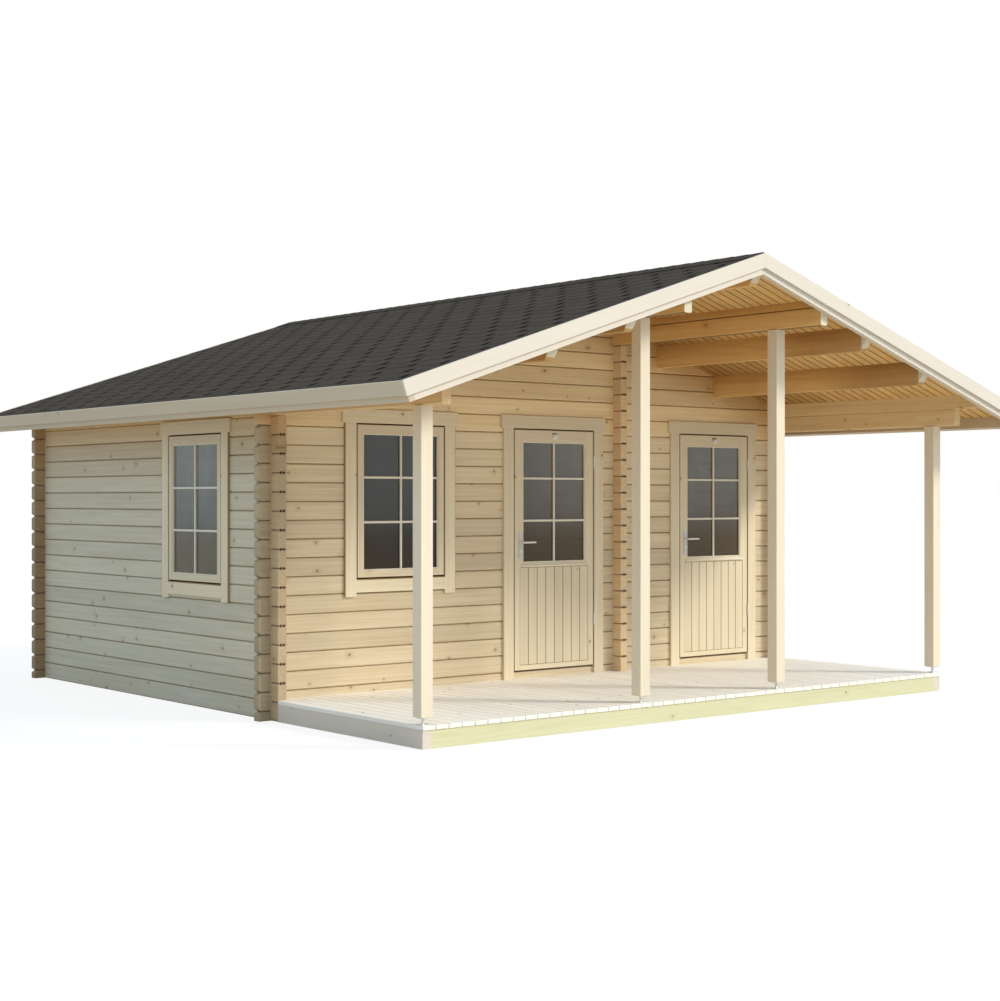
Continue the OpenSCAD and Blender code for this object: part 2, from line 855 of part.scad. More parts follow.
module front_window_casing() {
    color(pine) in_front_wall() window_casing(front_window_z, window_front_h);
}

module side_window_frame() {
    color(pine) in_side_wall() window_frame(side_window_z, window_side_h);
}

module side_window_casing() {
    color(pine) in_side_wall() window_casing(side_window_z, window_side_h);
}

module window_glass() {
    color(glazing) {
        in_front_wall() window_pane(front_window_z, window_front_h);
        in_side_wall() window_pane(side_window_z, window_side_h);
    }
}

front_sill_logs();
front_wall_left();
front_wall_middle();
front_wall_right();
front_gable();
side_wall_left();
side_wall_right();
back_wall();
partition_wall();
wall_plates();
post_beams();
purlins();
roof_boards_left();
roof_boards_right();
shingles_left();
shingles_right();
ridge_cap();
end_rafters();
eave_battens();
eave_boards();
bargeboards();
floor_joists();
floor_boards();
deck_side_beams();
deck_front_beam();
deck_boards();
posts();
post_feet();
door_frame(door_1_x);  // door_frame_1
door_casing(door_1_x);  // door_casing_1
door_leaf(door_1_x);  // door_leaf_1
door_glass(door_1_x);  // door_glass_1
lock_plates(door_1_x);  // lock_plates_1
door_lever(door_1_x);  // door_lever_1
door_frame(door_2_x);  // door_frame_2
door_casing(door_2_x);  // door_casing_2
door_leaf(door_2_x);  // door_leaf_2
door_glass(door_2_x);  // door_glass_2
lock_plates(door_2_x);  // lock_plates_2
door_lever(door_2_x);  // door_lever_2
front_window_frame();
front_window_casing();
side_window_frame();
side_window_casing();
window_glass();
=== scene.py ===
# %% [markdown]
# # An outdoor sauna: a log cabin with a covered terrace
# The cabin's solids come ready made, in metres, with the ground at z = 0 and the front facing -y.
# This script gives every solid its wood, glass, steel or roofing, and adds what a carpenter would
# add last: single boards, shingles, glazing bars, hinges and handles. Nothing in the solids is moved.

# %% Load the solids
import math

import bpy
import numpy as np
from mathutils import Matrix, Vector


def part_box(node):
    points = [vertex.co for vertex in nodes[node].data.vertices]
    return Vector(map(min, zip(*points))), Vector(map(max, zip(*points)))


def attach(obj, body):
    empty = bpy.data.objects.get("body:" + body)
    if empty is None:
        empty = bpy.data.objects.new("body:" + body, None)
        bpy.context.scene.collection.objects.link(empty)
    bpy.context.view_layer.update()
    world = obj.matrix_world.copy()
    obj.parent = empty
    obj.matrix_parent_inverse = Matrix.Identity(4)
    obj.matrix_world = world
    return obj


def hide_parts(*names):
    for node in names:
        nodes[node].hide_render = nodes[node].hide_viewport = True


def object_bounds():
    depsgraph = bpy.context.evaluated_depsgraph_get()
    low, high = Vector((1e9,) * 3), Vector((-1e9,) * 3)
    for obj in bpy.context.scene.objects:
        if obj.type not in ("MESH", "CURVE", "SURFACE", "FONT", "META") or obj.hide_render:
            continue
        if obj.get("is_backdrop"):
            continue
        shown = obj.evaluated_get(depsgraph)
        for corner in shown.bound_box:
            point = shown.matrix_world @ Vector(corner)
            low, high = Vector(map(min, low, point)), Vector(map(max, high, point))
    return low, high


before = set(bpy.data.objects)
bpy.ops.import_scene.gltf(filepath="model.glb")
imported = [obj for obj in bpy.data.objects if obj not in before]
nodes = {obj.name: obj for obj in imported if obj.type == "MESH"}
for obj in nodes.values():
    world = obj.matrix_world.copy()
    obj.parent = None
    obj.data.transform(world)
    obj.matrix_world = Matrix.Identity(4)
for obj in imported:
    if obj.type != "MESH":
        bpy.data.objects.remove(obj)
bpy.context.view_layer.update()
scene = bpy.context.scene

# %% [markdown]
# ## Measures
# Boards and shingles have to sit exactly on the solids, so every place is read from the solids' boxes
# or from the few sizes that shaped them: the roof's slope, the height of a log and the wall lines.

# %% Measures taken from the solids
PITCH = math.radians(18.15)
LOG_H, LOG_T = 0.135, 0.070
COS, SIN, TAN = math.cos(PITCH), math.sin(PITCH), math.tan(PITCH)


def box(node):
    """Lowest and highest corner of a solid, as two numpy arrays."""
    low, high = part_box(node)
    return np.array(low), np.array(high)


def add(name, data):
    """A new object for a camera, a mesh or a lamp, linked into the scene."""
    made = bpy.data.objects.new(name, data)
    scene.collection.objects.link(made)
    return made


wall_low, wall_high = box("side_wall_left")
HALF_W = -wall_low[0]
LOG_END = 0.095
FRONT_Y = wall_low[1] + LOG_END
BACK_Y = wall_high[1] - LOG_END
PARTITION = box("partition_wall")[0][0] + LOG_T / 2
DECK_LOW, DECK_HIGH = box("deck_boards")
ROOF_LOW, ROOF_HIGH = box("roof_boards_right")
BOARD_D, SHINGLE_D = 0.032, 0.012
RIDGE = ROOF_HIGH[2] - BOARD_D / COS
EAVE_S = (ROOF_HIGH[0] - BOARD_D * SIN) / COS
# Height of a row of shingles, width of a tab, and width and height of the notch between two tabs.
ROW, TAB, NOTCH, NOTCH_H = 0.1592, 0.3377, 0.062, 0.078
print("half width", round(HALF_W, 4), "front", round(FRONT_Y, 4), "ridge", round(RIDGE, 4))

# %% [markdown]
# ## The camera
# A long lens held level at eye height keeps the corner posts upright. The slight downward shift of
# the frame puts a little more ground than sky into the picture.

# %% Camera
camera = bpy.data.cameras.new("camera")
camera.sensor_width = 36
camera.lens = 61.955
camera.shift_y = -0.00306
camera_object = add("camera", camera)
camera_object.location = (-9.048, -11.346, 1.581)
camera_object.rotation_euler = (math.radians(90), 0, math.radians(-39.03))
scene.camera = camera_object
print("camera at", tuple(round(v, 3) for v in camera_object.location))

# %% [markdown]
# ## Making meshes
# Almost everything on a cabin is a board: one outline carried straight along a path. So one function
# sweeps an outline along many paths at once, as whole arrays, and a second one turns a profile round
# an axis for hinges, knobs and locks. A third one draws flat tabs that lie on the slope of the roof.


# %% Mesh helpers
def piece(name, vertices, faces, material, body="cabin", slot=None, smooth=False):
    """Makes a mesh object at the origin from vertex rows and face rows, and lets it ride on a body."""
    mesh = bpy.data.meshes.new(name)
    mesh.from_pydata(np.asarray(vertices).tolist(), [], faces)
    mesh.validate()
    mesh.materials.append(material)
    mesh.shade_smooth() if smooth else mesh.shade_flat()
    made = add(name, mesh)
    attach(made, body)
    print(name, "has", len(mesh.vertices), "vertices and", len(mesh.polygons), "faces")
    return made


def unit(rows):
    """Each row divided by its own length."""
    return rows / np.linalg.norm(rows, axis=-1, keepdims=True)


def sweep(outline, starts, ends, up):
    """Carries a closed outline straight from each start to its end.

    vertex = path point + outline[k, 0] * side + outline[k, 1] * up, where side = direction x up.
    The outline runs anticlockwise as seen from the start. Returns vertices and faces."""
    outline = np.asarray(outline, float)
    starts, ends = np.atleast_2d(starts).astype(float), np.atleast_2d(ends).astype(float)
    direction = unit(ends - starts)
    side = unit(np.cross(direction, np.broadcast_to(up, starts.shape)))
    upward = np.cross(side, direction)
    ring = outline[None, :, :1] * side[:, None] + outline[None, :, 1:] * upward[:, None]
    vertices = np.stack([starts[:, None] + ring, ends[:, None] + ring], 1).reshape(-1, 3)
    count, size = len(starts), len(outline)
    k = np.arange(size)
    nxt = (k + 1) % size
    base = (np.arange(count) * 2 * size)[:, None, None]
    walls = base + np.stack([k, k + size, nxt + size, nxt], 1)[None]
    caps = np.concatenate([base[:, 0] + k, base[:, 0] + size + k[::-1]])
    return vertices, walls.reshape(-1, 4).tolist() + caps.tolist()


def tube_faces(rings, steps):
    """Faces of a tube of rings with the same number of steps, closed by a flat cap at each end."""
    k = np.arange(steps)
    nxt = (k + 1) % steps
    lower = (np.arange(rings - 1) * steps)[:, None]
    walls = np.stack([lower + k, lower + nxt, lower + steps + nxt, lower + steps + k], -1)
    return walls.reshape(-1, 4).tolist() + [k[::-1].tolist(), (k + (rings - 1) * steps).tolist()]


def turn(profile, origin, axis, steps=24):
    """Turns a profile of (radius, height) rows round an axis through the origin.

    vertex = origin + height * axis + radius * (cos t * u + sin t * v), with a flat cap at each end."""
    profile = np.asarray(profile, float)
    axis = unit(np.asarray(axis, float))
    u = unit(np.cross(axis, [0.0, 0.0, 1.0] if abs(axis[2]) < 0.9 else [1.0, 0.0, 0.0]))
    v = np.cross(axis, u)
    t = np.linspace(0, 2 * np.pi, steps, endpoint=False)
    circle = np.cos(t)[:, None] * u + np.sin(t)[:, None] * v
    vertices = np.asarray(origin) + profile[:, None, 1:] * axis + profile[:, None, :1] * circle
    return vertices.reshape(-1, 3), tube_faces(len(profile), steps)


def join(*parts):
    """Puts several (vertices, faces) pairs into one pair."""
    vertices, faces, offset = [], [], 0
    for v, f in parts:
        vertices.append(v)
        faces += [[i + offset for i in face] for face in f]
        offset += len(v)
    return np.concatenate(vertices), faces


def boards(x0, x1, y0, y1, z0, z1, along, edge=0.003):
    """Boards given by their boxes, as arrays, each with four edges planed off by the width edge.

    The outline is the box's section square to the grain, cut at 45 degrees at its corners."""
    low = np.stack(np.broadcast_arrays(x0, y0, z0), -1).astype(float).reshape(-1, 3)
    high = np.stack(np.broadcast_arrays(x1, y1, z1), -1).astype(float).reshape(-1, 3)
    a = "xyz".index(along)
    b, c = [i for i in range(3) if i != a]
    up = np.eye(3)[c]
    parts = []
    sizes = np.round(high - low, 6)
    for size in np.unique(sizes[:, [b, c]], axis=0):
        chosen = np.all(sizes[:, [b, c]] == size, axis=1)
        w, h = size / 2
        e = min(edge, w * 0.45, h * 0.45)
        outline = [(-w + e, -h), (w - e, -h), (w, -h + e), (w, h - e),
                   (w - e, h), (-w + e, h), (-w, h - e), (-w, -h + e)]
        middle = (low[chosen] + high[chosen]) / 2
        start, end = middle.copy(), middle.copy()
        start[:, a], end[:, a] = low[chosen][:, a], high[chosen][:, a]
        parts.append(sweep(outline, start, end, up))
    return join(*parts)


def on_slope(side, s, y, d):
    """Point at length s down the slope, at y, and at height d square to the roof's underside.

    x = side * (s cos + d sin) and z = ridge - s sin + d cos of the roof's pitch."""
    s, y, d = np.broadcast_arrays(s, y, d)
    return np.stack([side * (s * COS + d * SIN), y, RIDGE - s * SIN + d * COS], -1)


# %% [markdown]
# ## The pine
# One tree gives all the wood here, so one node group draws it. A board is a slice through growth
# rings: seen along the trunk they stretch into long flames, so the group reads a smooth noise that is
# drawn out along the grain and turns its height lines into rings. Knots are rare cells of a Voronoi
# pattern; the rings bend round them. Each board takes its own place in the pattern from its number,
# and its own lightness, because no two boards on a wall are alike.


# %% Node helpers
def fill(tree, node, inputs):
    """Fills a node's inputs with values or links."""
    for key, value in inputs.items():
        if isinstance(value, bpy.types.NodeSocket):
            tree.links.new(value, node.inputs[key])
        else:
            node.inputs[key].default_value = value


def put(tree, kind, inputs=None, **settings):
    """Adds a node, sets its settings and fills its inputs."""
    node = tree.nodes.new(kind)
    for key, value in settings.items():
        setattr(node, key, value)
    fill(tree, node, inputs or {})
    return node


def calc(tree, operation, a, b=0.0, c=0.0, clamp=False):
    """One Math node, and its result."""
    return put(tree, "ShaderNodeMath", {0: a, 1: b, 2: c}, operation=operation, use_clamp=clamp).outputs[0]


def times(tree, a, b):
    """a times b."""
    return calc(tree, "MULTIPLY", a, b)


def rest(tree, a):
    """What is left of 1 after a."""
    return calc(tree, "SUBTRACT", 1.0, a)


def blend_colour(tree, amount, first, second, way="MIX"):
    """One Mix node for colours, and its result."""
    node = put(tree, "ShaderNodeMix", {0: amount, 6: first, 7: second}, data_type="RGBA", blend_type=way)
    return node.outputs[2]


def scaled(tree, colour, factor):
    """A colour times a number."""
    return put(tree, "ShaderNodeVectorMath", {0: colour, 3: factor}, operation="SCALE").outputs[0]


def smooth(tree, value, low, high):
    """Rises smoothly from 0 at low to 1 at high."""
    ramp = {0: value, 1: low, 2: high, 3: 0.0, 4: 1.0}
    return put(tree, "ShaderNodeMapRange", ramp, interpolation_type="SMOOTHSTEP").outputs[0]


def vector(tree, x, y, z):
    """Three values as one vector."""
    return put(tree, "ShaderNodeCombineXYZ", {0: x, 1: y, 2: z}).outputs[0]


def place_of(tree):
    """The object's own coordinates as one vector."""
    return put(tree, "ShaderNodeTexCoord").outputs["Object"]


def axes(tree):
    """The object's own coordinates as x, y and z."""
    return put(tree, "ShaderNodeSeparateXYZ", {0: place_of(tree)}).outputs[:3]


def noise(tree, place, scale=1.0, detail=2.0, rough=0.5):
    """Smooth noise between 0 and 1 at a place."""
    inputs = {"Vector": place, "Scale": scale, "Detail": detail, "Roughness": rough}
    return put(tree, "ShaderNodeTexNoise", inputs).outputs[0]


def new_group(name, inputs, outputs):
    """An empty node group with float, vector or colour sockets."""
    group = bpy.data.node_groups.new(name, "ShaderNodeTree")
    for socket, kind, default in inputs:
        made = group.interface.new_socket(socket, in_out="INPUT", socket_type=kind)
        made.default_value = default
    for socket, kind in outputs:
        group.interface.new_socket(socket, in_out="OUTPUT", socket_type=kind)
    return group, group.nodes.new("NodeGroupInput"), group.nodes.new("NodeGroupOutput")


def new_material(name):
    """A new material, its node tree and its shader."""
    material = bpy.data.materials.new(name)
    material.use_nodes = True
    return material, material.node_tree, material.node_tree.nodes["Principled BSDF"]


def speckled(name, dark, pale, scale, roughness):
    """A plain material that varies between two colours in small specks."""
    material, tree, shader = new_material(name)
    speck = noise(tree, place_of(tree), scale)
    fill(tree, shader, {"Base Color": blend_colour(tree, speck, dark, pale), "Roughness": roughness})
    return material


FLOAT, VECTOR, COLOUR = "NodeSocketFloat", "NodeSocketVector", "NodeSocketColor"

# %% The wood figure
figure, given, result = new_group(
    "pine_figure",
    [("Place", VECTOR, (0, 0, 0)), ("Board", FLOAT, 0.135), ("Width", FLOAT, 10.0), ("Knots", FLOAT, 0.3),
     ("Seam", FLOAT, 0.0), ("Reach", FLOAT, 0.006), ("Early", COLOUR, (0.8, 0.67, 0.47, 1)),
     ("Late", COLOUR, (0.66, 0.5, 0.31, 1)), ("Knot", COLOUR, (0.3, 0.17, 0.08, 1)),
     ("Variation", FLOAT, 0.12)],
    [("Colour", COLOUR), ("Height", FLOAT), ("Roughness", FLOAT)],
)
take = given.outputs
part = put(figure, "ShaderNodeSeparateXYZ", {0: take["Place"]}).outputs
level = calc(figure, "DIVIDE", part[2], take["Board"])
row = calc(figure, "FLOOR", level)
lane = calc(figure, "FLOOR", calc(figure, "DIVIDE", part[1], take["Width"]))
number = calc(figure, "MULTIPLY_ADD", lane, 37.0, row)
lot = put(figure, "ShaderNodeTexWhiteNoise", {"W": number}, noise_dimensions="1D")
luck = put(figure, "ShaderNodeSeparateColor", {0: lot.outputs["Color"]}).outputs
along = calc(figure, "MULTIPLY_ADD", luck[0], 40.0, part[0])
across = calc(figure, "MULTIPLY_ADD", luck[1], 9.0, part[1])
stack = calc(figure, "MULTIPLY_ADD", luck[2], 5.0, part[2])


def drawn_out(grain, side, height, detail=2.0, rough=0.5):
    """Noise with its own fineness along the grain, across it and over the stack of boards."""
    fine = [times(figure, a, b) for a, b in ((along, grain), (across, side), (stack, height))]
    return noise(figure, vector(figure, *fine), 1.0, detail, rough)


# Knots: cells of about 0.24 m by 0.18 m, of which some hold a knot of 7 to 16 mm radius.
cell_place = vector(figure, times(figure, along, 4.2), times(figure, stack, 5.4), 0.0)
cells = put(figure, "ShaderNodeTexVoronoi", {"Vector": cell_place, "Scale": 1.0}, voronoi_dimensions="2D")
fate = put(figure, "ShaderNodeSeparateColor", {0: cells.outputs["Color"]}).outputs
has_knot = calc(figure, "LESS_THAN", fate[0], take["Knots"])
radius = calc(figure, "MULTIPLY_ADD", fate[1], 0.045, 0.030)
from_knot = calc(figure, "DIVIDE", cells.outputs["Distance"], radius)
knot = times(figure, rest(figure, smooth(figure, from_knot, 0.3, 1.3)), times(figure, has_knot, 0.75))
halo = times(figure, rest(figure, smooth(figure, from_knot, 0.9, 4.0)), has_knot)

# Rings: height lines of a noise drawn far out along the grain, pushed aside near a knot.
bent = calc(figure, "MULTIPLY_ADD", halo, 0.10, drawn_out(0.22, 6.0, 8.0, rough=0.45))
ring = calc(figure, "MULTIPLY_ADD", calc(figure, "SINE", times(figure, bent, 70.0)), 0.5, 0.5)
late = calc(figure, "POWER", ring, 2.2)
streak = drawn_out(1.1, 34.0, 46.0)
fibre = drawn_out(6.0, 260.0, 260.0)
cloud = drawn_out(1.3, 4.0, 7.0, 1.0)
fibres = times(figure, calc(figure, "SUBTRACT", fibre, 0.38), 0.5)
lines = calc(figure, "MULTIPLY_ADD", calc(figure, "SUBTRACT", streak, 0.38), 1.1, fibres)
amount = calc(figure, "MULTIPLY_ADD", late, 0.26, lines, clamp=True)
grained = blend_colour(figure, amount, take["Early"], take["Late"])
warmed = blend_colour(figure, times(figure, halo, 0.55), grained, take["Late"])
knotted = blend_colour(figure, knot, warmed, take["Knot"])
lightness = calc(figure, "ADD", times(figure, luck[1], 0.8), times(figure, cloud, 0.7))
spread = times(figure, calc(figure, "SUBTRACT", lightness, 0.75), take["Variation"])
toned = scaled(figure, knotted, calc(figure, "ADD", 1.0, spread))

# The joint between two boards: a brown line that fades out within the given reach of the joint.
from_joint = calc(figure, "ABSOLUTE", calc(figure, "SUBTRACT", level, calc(figure, "ROUND", level)))
metres = times(figure, from_joint, take["Board"])
away = smooth(figure, metres, times(figure, take["Reach"], 0.2), take["Reach"])
joint_line = times(figure, rest(figure, away), take["Seam"])
jointed = blend_colour(figure, joint_line, toned, (0.17, 0.095, 0.035, 1))
height = calc(figure, "SUBTRACT", times(figure, fibre, 0.6), times(figure, late, 0.3))
roughness = calc(figure, "MULTIPLY_ADD", late, -0.12, 0.66)
fill(figure, result, {"Colour": jointed, "Height": height, "Roughness": roughness})
print("pine figure:", len(figure.nodes), "nodes")

# %% [markdown]
# ## Which way the grain runs
# A log's grain runs along the log, a post's runs upwards and a bargeboard's follows the roof. The
# pattern wants its first axis along the grain and its third across the stack of boards, so each
# material first re-orders the object's own coordinates.


# %% Grain directions
def grain_place(tree, way, shift=0.0, joint=None):
    """Object coordinates re-ordered as (along the grain, across, stack) for one way of laying wood."""
    x, y, z = axes(tree)
    level = {"x": (x, y, z), "y": (y, x, z), "y_side": (y, z, x), "z": (z, y, x)}
    if way in level:
        grain, side, stack = level[way]
        return vector(tree, grain, side, calc(tree, "ADD", stack, shift))
    if way in ("slope", "barge"):
        side = calc(tree, "ABSOLUTE", x)
        down = calc(tree, "DIVIDE", side, COS)
        if way == "slope":
            return vector(tree, down, z, calc(tree, "ADD", y, shift))
        lift = calc(tree, "MULTIPLY_ADD", side, TAN, z)
        split = times(tree, calc(tree, "SIGN", x), 0.4)
        return vector(tree, down, y, calc(tree, "ADD", lift, split))
    # Joinery: the grain runs up in the stiles and along in the rails.
    # joint = (axis, middle, half, head) tells them apart.
    axis, middle, half, head = joint
    run, depth = (x, y) if axis == "x" else (y, x)
    offset = calc(tree, "SUBTRACT", run, middle)
    inside = calc(tree, "LESS_THAN", calc(tree, "ABSOLUTE", offset), half)
    rail = calc(tree, "MAXIMUM", inside, calc(tree, "GREATER_THAN", z, head))
    stile = calc(tree, "ADD", times(tree, calc(tree, "SIGN", offset), 0.6), offset)
    ways = {0: rail, 4: vector(tree, z, depth, stile), 5: vector(tree, run, depth, calc(tree, "ADD", z, 3.0))}
    return put(tree, "ShaderNodeMix", ways, data_type="VECTOR").outputs[1]


def wood(name, way, early, late, knot=(0.28, 0.15, 0.07), board=LOG_H, width=10.0, knots=0.3,
         variation=0.16, shift=0.0, joint=None, seam=0.0, reach=0.006, tint=None):
    """A planed pine material: the figure group laid the given way, with its own colours.

    tint(tree) may return rows of a mask and a colour that multiplies the wood there; a third entry in
    a row names another way of blending."""
    material, tree, shader = new_material(name)
    inputs = {"Place": grain_place(tree, way, shift, joint), "Board": board, "Width": width, "Knots": knots,
              "Seam": seam, "Reach": reach, "Early": (*early, 1), "Late": (*late, 1), "Knot": (*knot, 1),
              "Variation": variation}
    pine = put(tree, "ShaderNodeGroup", inputs, node_tree=figure).outputs
    bump = {"Strength": 0.12, "Distance": 0.002, "Height": pine["Height"]}
    colour = pine["Colour"]
    for mask, over, *blend in (tint(tree) if tint else []):
        colour = blend_colour(tree, mask, colour, over, *(blend or ["MULTIPLY"]))
    normal = put(tree, "ShaderNodeBump", bump).outputs[0]
    fill(tree, shader, {"Base Color": colour, "Roughness": pine["Roughness"], "Normal": normal,
                        "Specular IOR Level": 0.25})
    return material


def outside(tree, along, middle, half, low=-9.0, high=99.0):
    """1 further than half from the middle along x or y, or below low, or above high."""
    x, y, z = axes(tree)
    run = calc(tree, "ABSOLUTE", calc(tree, "SUBTRACT", x if along == "x" else y, middle))
    level = calc(tree, "MAXIMUM", calc(tree, "LESS_THAN", z, low), calc(tree, "GREATER_THAN", z, high))
    return calc(tree, "MAXIMUM", calc(tree, "GREATER_THAN", run, half), level)



def dress(names, material):
    """Gives CAD solids a material in place of their plain one."""
    for name in names.split():
        mesh = nodes[name].data
        mesh.materials.clear()
        mesh.materials.append(material)
    print(material.name, "on", names)


# %% [markdown]
# ## Logs, beams and trim
# The logs are pale yellow pine. The front and back walls start with half a log, so their seams lie
# half a course higher than those of the side walls, and the numbering of boards shifts with them.
# Trim, posts and decking are fresher and paler; the beam at the front of the terrace is pressure treated
# and slightly green. The roof timber is warmer, partly its own tone and partly painted warm light
# bounced from the deck. The side walls' logs are a greyer copy, painted shade of the sky-lit sides; the
# gable's logs are a lighter, warmer copy, painted light bounced under the terrace roof.

# %% Wood on the solids
LOG = ((0.69, 0.57, 0.39), (0.56, 0.42, 0.24))
# Gable logs: a lighter, warmer copy of the logs, painted light bounced under the terrace roof.
GABLE_PAINTED_LIGHT = ((0.95, 0.76, 0.46), (0.80, 0.57, 0.28))
# Side wall logs: a greyer copy of the logs, painted shade of the sky-lit sides.
SIDE_PAINTED_SHADE = ((0.71, 0.65, 0.50), (0.58, 0.50, 0.34))
TRIM = ((0.77, 0.69, 0.58), (0.72, 0.63, 0.51))
POST = ((0.87, 0.76, 0.58), (0.81, 0.70, 0.52))
JOINERY = ((0.79, 0.68, 0.48), (0.70, 0.57, 0.38))
# Roof timber: warmer, partly its own tone and partly painted warm light bounced from the deck.
WARM_AND_PAINTED_BOUNCE = ((0.88, 0.58, 0.24), (0.72, 0.40, 0.13))


def side_log_shade_and_light(tree):
    """Painted shade and light on the side logs: darker and warmer past the front and back walls, darker still
    on the sawn ends (partly the end grain's own tone, partly painted shade of the corners); lighter and
    golden at the top, painted warm light bounced from the eaves.
    """
    middle, half = (FRONT_Y + BACK_Y) / 2, (BACK_Y - FRONT_Y) / 2
    beyond = outside(tree, "y", middle, half + 0.001)
    ends = outside(tree, "y", middle, half + LOG_END - 0.001)
    top = smooth(tree, axes(tree)[2], 1.65, 2.25)
    return [(beyond, (0.90, 0.74, 0.58, 1)), (ends, (0.86, 0.88, 0.94, 1)), (top, (1.12, 0.95, 0.76, 1))]


def cross_log_shade_and_light(tree):
    """Painted shade and light on the front and back logs: darker past the side walls and darker still at the
    back, painted shade of the corners; lighter high up, painted light bounced under the terrace roof.
    """
    x, y, z = axes(tree)
    ends = outside(tree, "x", 0.0, HALF_W + 0.001)
    behind = times(tree, ends, calc(tree, "GREATER_THAN", y, 0.0))
    high = smooth(tree, z, 1.1, 2.2)
    return [(high, (1.34, 1.36, 1.34, 1)), (ends, (0.68, 0.66, 0.64, 1)), (behind, (0.84, 0.74, 0.66, 1))]


def shade_under_roof(tree, reach=0.45, tone=(0.74, 0.58, 0.42, 1)):
    """Painted shade: wood just under the roof boards is darker and browner; the lower edge of that shade
    follows the slope.
    """
    x, y, z = axes(tree)
    depth = calc(tree, "SUBTRACT", RIDGE, calc(tree, "MULTIPLY_ADD", calc(tree, "ABSOLUTE", x), TAN, z))
    return [(rest(tree, smooth(tree, depth, 0.0, reach)), tone)]


def shade_near_wall(tree):
    """Painted shade: the roof boards are darker and browner within 1.5 m of the front wall."""
    away = calc(tree, "ABSOLUTE", calc(tree, "SUBTRACT", axes(tree)[1], FRONT_Y))
    return [(smooth(tree, calc(tree, "MULTIPLY_ADD", away, -1.0, 1.5), 0.0, 1.6), (0.50, 0.40, 0.31, 1))]


def timber_shade_and_ends(node, depth):
    """Roof timber: painted shade just under the boards and towards the front of the outer timbers.

    Its ends are pale, as deep as the slanting cut there."""
    low, high = box(node)
    middle, half = (low[1] + high[1]) / 2, (high[1] - low[1]) / 2 - depth

    def rows(tree):
        front = smooth(tree, times(tree, axes(tree)[1], -1.0), 1.9, 2.6)
        outer = times(tree, outside(tree, "x", 0.0, 1.0), front)
        return [*shade_under_roof(tree, 0.16, (0.72, 0.62, 0.50, 1)), (outer, (0.68, 0.64, 0.64, 1)),
                (outside(tree, "y", middle, half), (0.76, 0.67, 0.51, 1), "MIX")]
    return rows


log_form = dict(width=1.5, knots=0.34)
dress("front_sill_logs front_wall_left front_wall_middle front_wall_right back_wall",
      wood("logs_along_front", "x", *LOG, **log_form, shift=LOG_H / 2, variation=0.22, seam=0.75,
           tint=cross_log_shade_and_light))
dress("front_gable", wood("gable_logs", "x", *GABLE_PAINTED_LIGHT, **log_form, shift=LOG_H / 2, variation=0.2,
                          seam=0.75, tint=shade_under_roof))
dress("side_wall_left side_wall_right",
      wood("logs_along_side", "y", *SIDE_PAINTED_SHADE, **log_form, variation=0.18, seam=0.70, tint=side_log_shade_and_light))
# The partition's logs are a warmer copy of the logs: painted warm light bounced into its shaded corner.
dress("partition_wall", wood("inner_logs", "y", (0.82, 0.62, 0.38), (0.68, 0.46, 0.22), width=1.5,
                             variation=0.18, seam=0.70))
dress("wall_plates", wood("plate_wood", "y", (0.86, 0.64, 0.36), (0.70, 0.47, 0.20), board=0.31,
                          width=1.5, knots=0.12, variation=0.1))
dress("purlins", wood("roof_timber", "y_side", *WARM_AND_PAINTED_BOUNCE, board=0.31, shift=0.155, knots=0.2,
                      tint=timber_shade_and_ends("purlins", 0.045)))
dress("post_beams", wood("post_beam_wood", "y", *WARM_AND_PAINTED_BOUNCE, width=0.5, knots=0.2, seam=0.8,
                         tint=timber_shade_and_ends("post_beams", 0.003)))
dress("bargeboards end_rafters",
      wood("trim_on_slope", "barge", *TRIM, board=0.6, width=0.02, knots=0.04, variation=0.05))
dress("eave_boards eave_battens", wood("trim_on_eaves", "y_side", (0.67, 0.57, 0.43), (0.61, 0.51, 0.36),
                                       board=0.2, knots=0.05, variation=0.06))
dress("posts", wood("post_wood", "z", *POST, board=1.3, knots=0.0, variation=0.06))
dress("floor_joists", wood("joist_wood", "x", *TRIM, board=1.0, knots=0.2))
dress("deck_side_beams", wood("side_beam_wood", "y", *TRIM, board=0.3, width=1.5, knots=0.2, variation=0.06))
dress("deck_front_beam", wood("treated_beam_wood", "x", (0.74, 0.72, 0.47), (0.66, 0.62, 0.36),
                              (0.36, 0.3, 0.14), board=0.5, knots=0.2, variation=0.1))

# %% [markdown]
# ## Doors and windows
# Casings, frames, leaves and sashes are joinery: uprights with the grain upwards between rails with
# the grain across. One rule tells them apart on each piece: inside the clear width, or above the
# head, the wood is a rail.

# %% Wood on the joinery
# Painted shade on wood beside a gap, and how far it reaches on a face and on an edge.
GAP_SHADE, RIM_FACE, RIM_EDGE = (0.22, 0.13, 0.055, 1), 0.003, 0.009
LEAF_T, CASING_W, HEAD_W = 0.040, 0.098, 0.102
# Half the clear width inside a casing.
DOOR_CLEAR, WINDOW_CLEAR = 0.427, 0.408
# From the pane: where the painted shade of a sash's rim begins, beside it and over it, and the painted shadow
# strip under the sash.
SASH_SIDE, SASH_TOP, STRIP_LOW, STRIP_HIGH = 0.051, 0.065, 0.071, 0.05
# Door frames in dark brown: painted shade of the gap round each leaf.
FRAME_PAINTED_SHADE = ((0.42, 0.28, 0.13), (0.32, 0.20, 0.09))
WINDOW_WOOD = ((0.86, 0.75, 0.53), (0.77, 0.63, 0.42))


def joinery(name, joint, colours=JOINERY, knots=0.05, tint=None):
    """Wood for a frame of stiles and rails, told apart by joint = (axis, middle, half, head)."""
    return wood(name, "joint", *colours, board=0.5, knots=knots, variation=0.06, joint=joint, tint=tint)


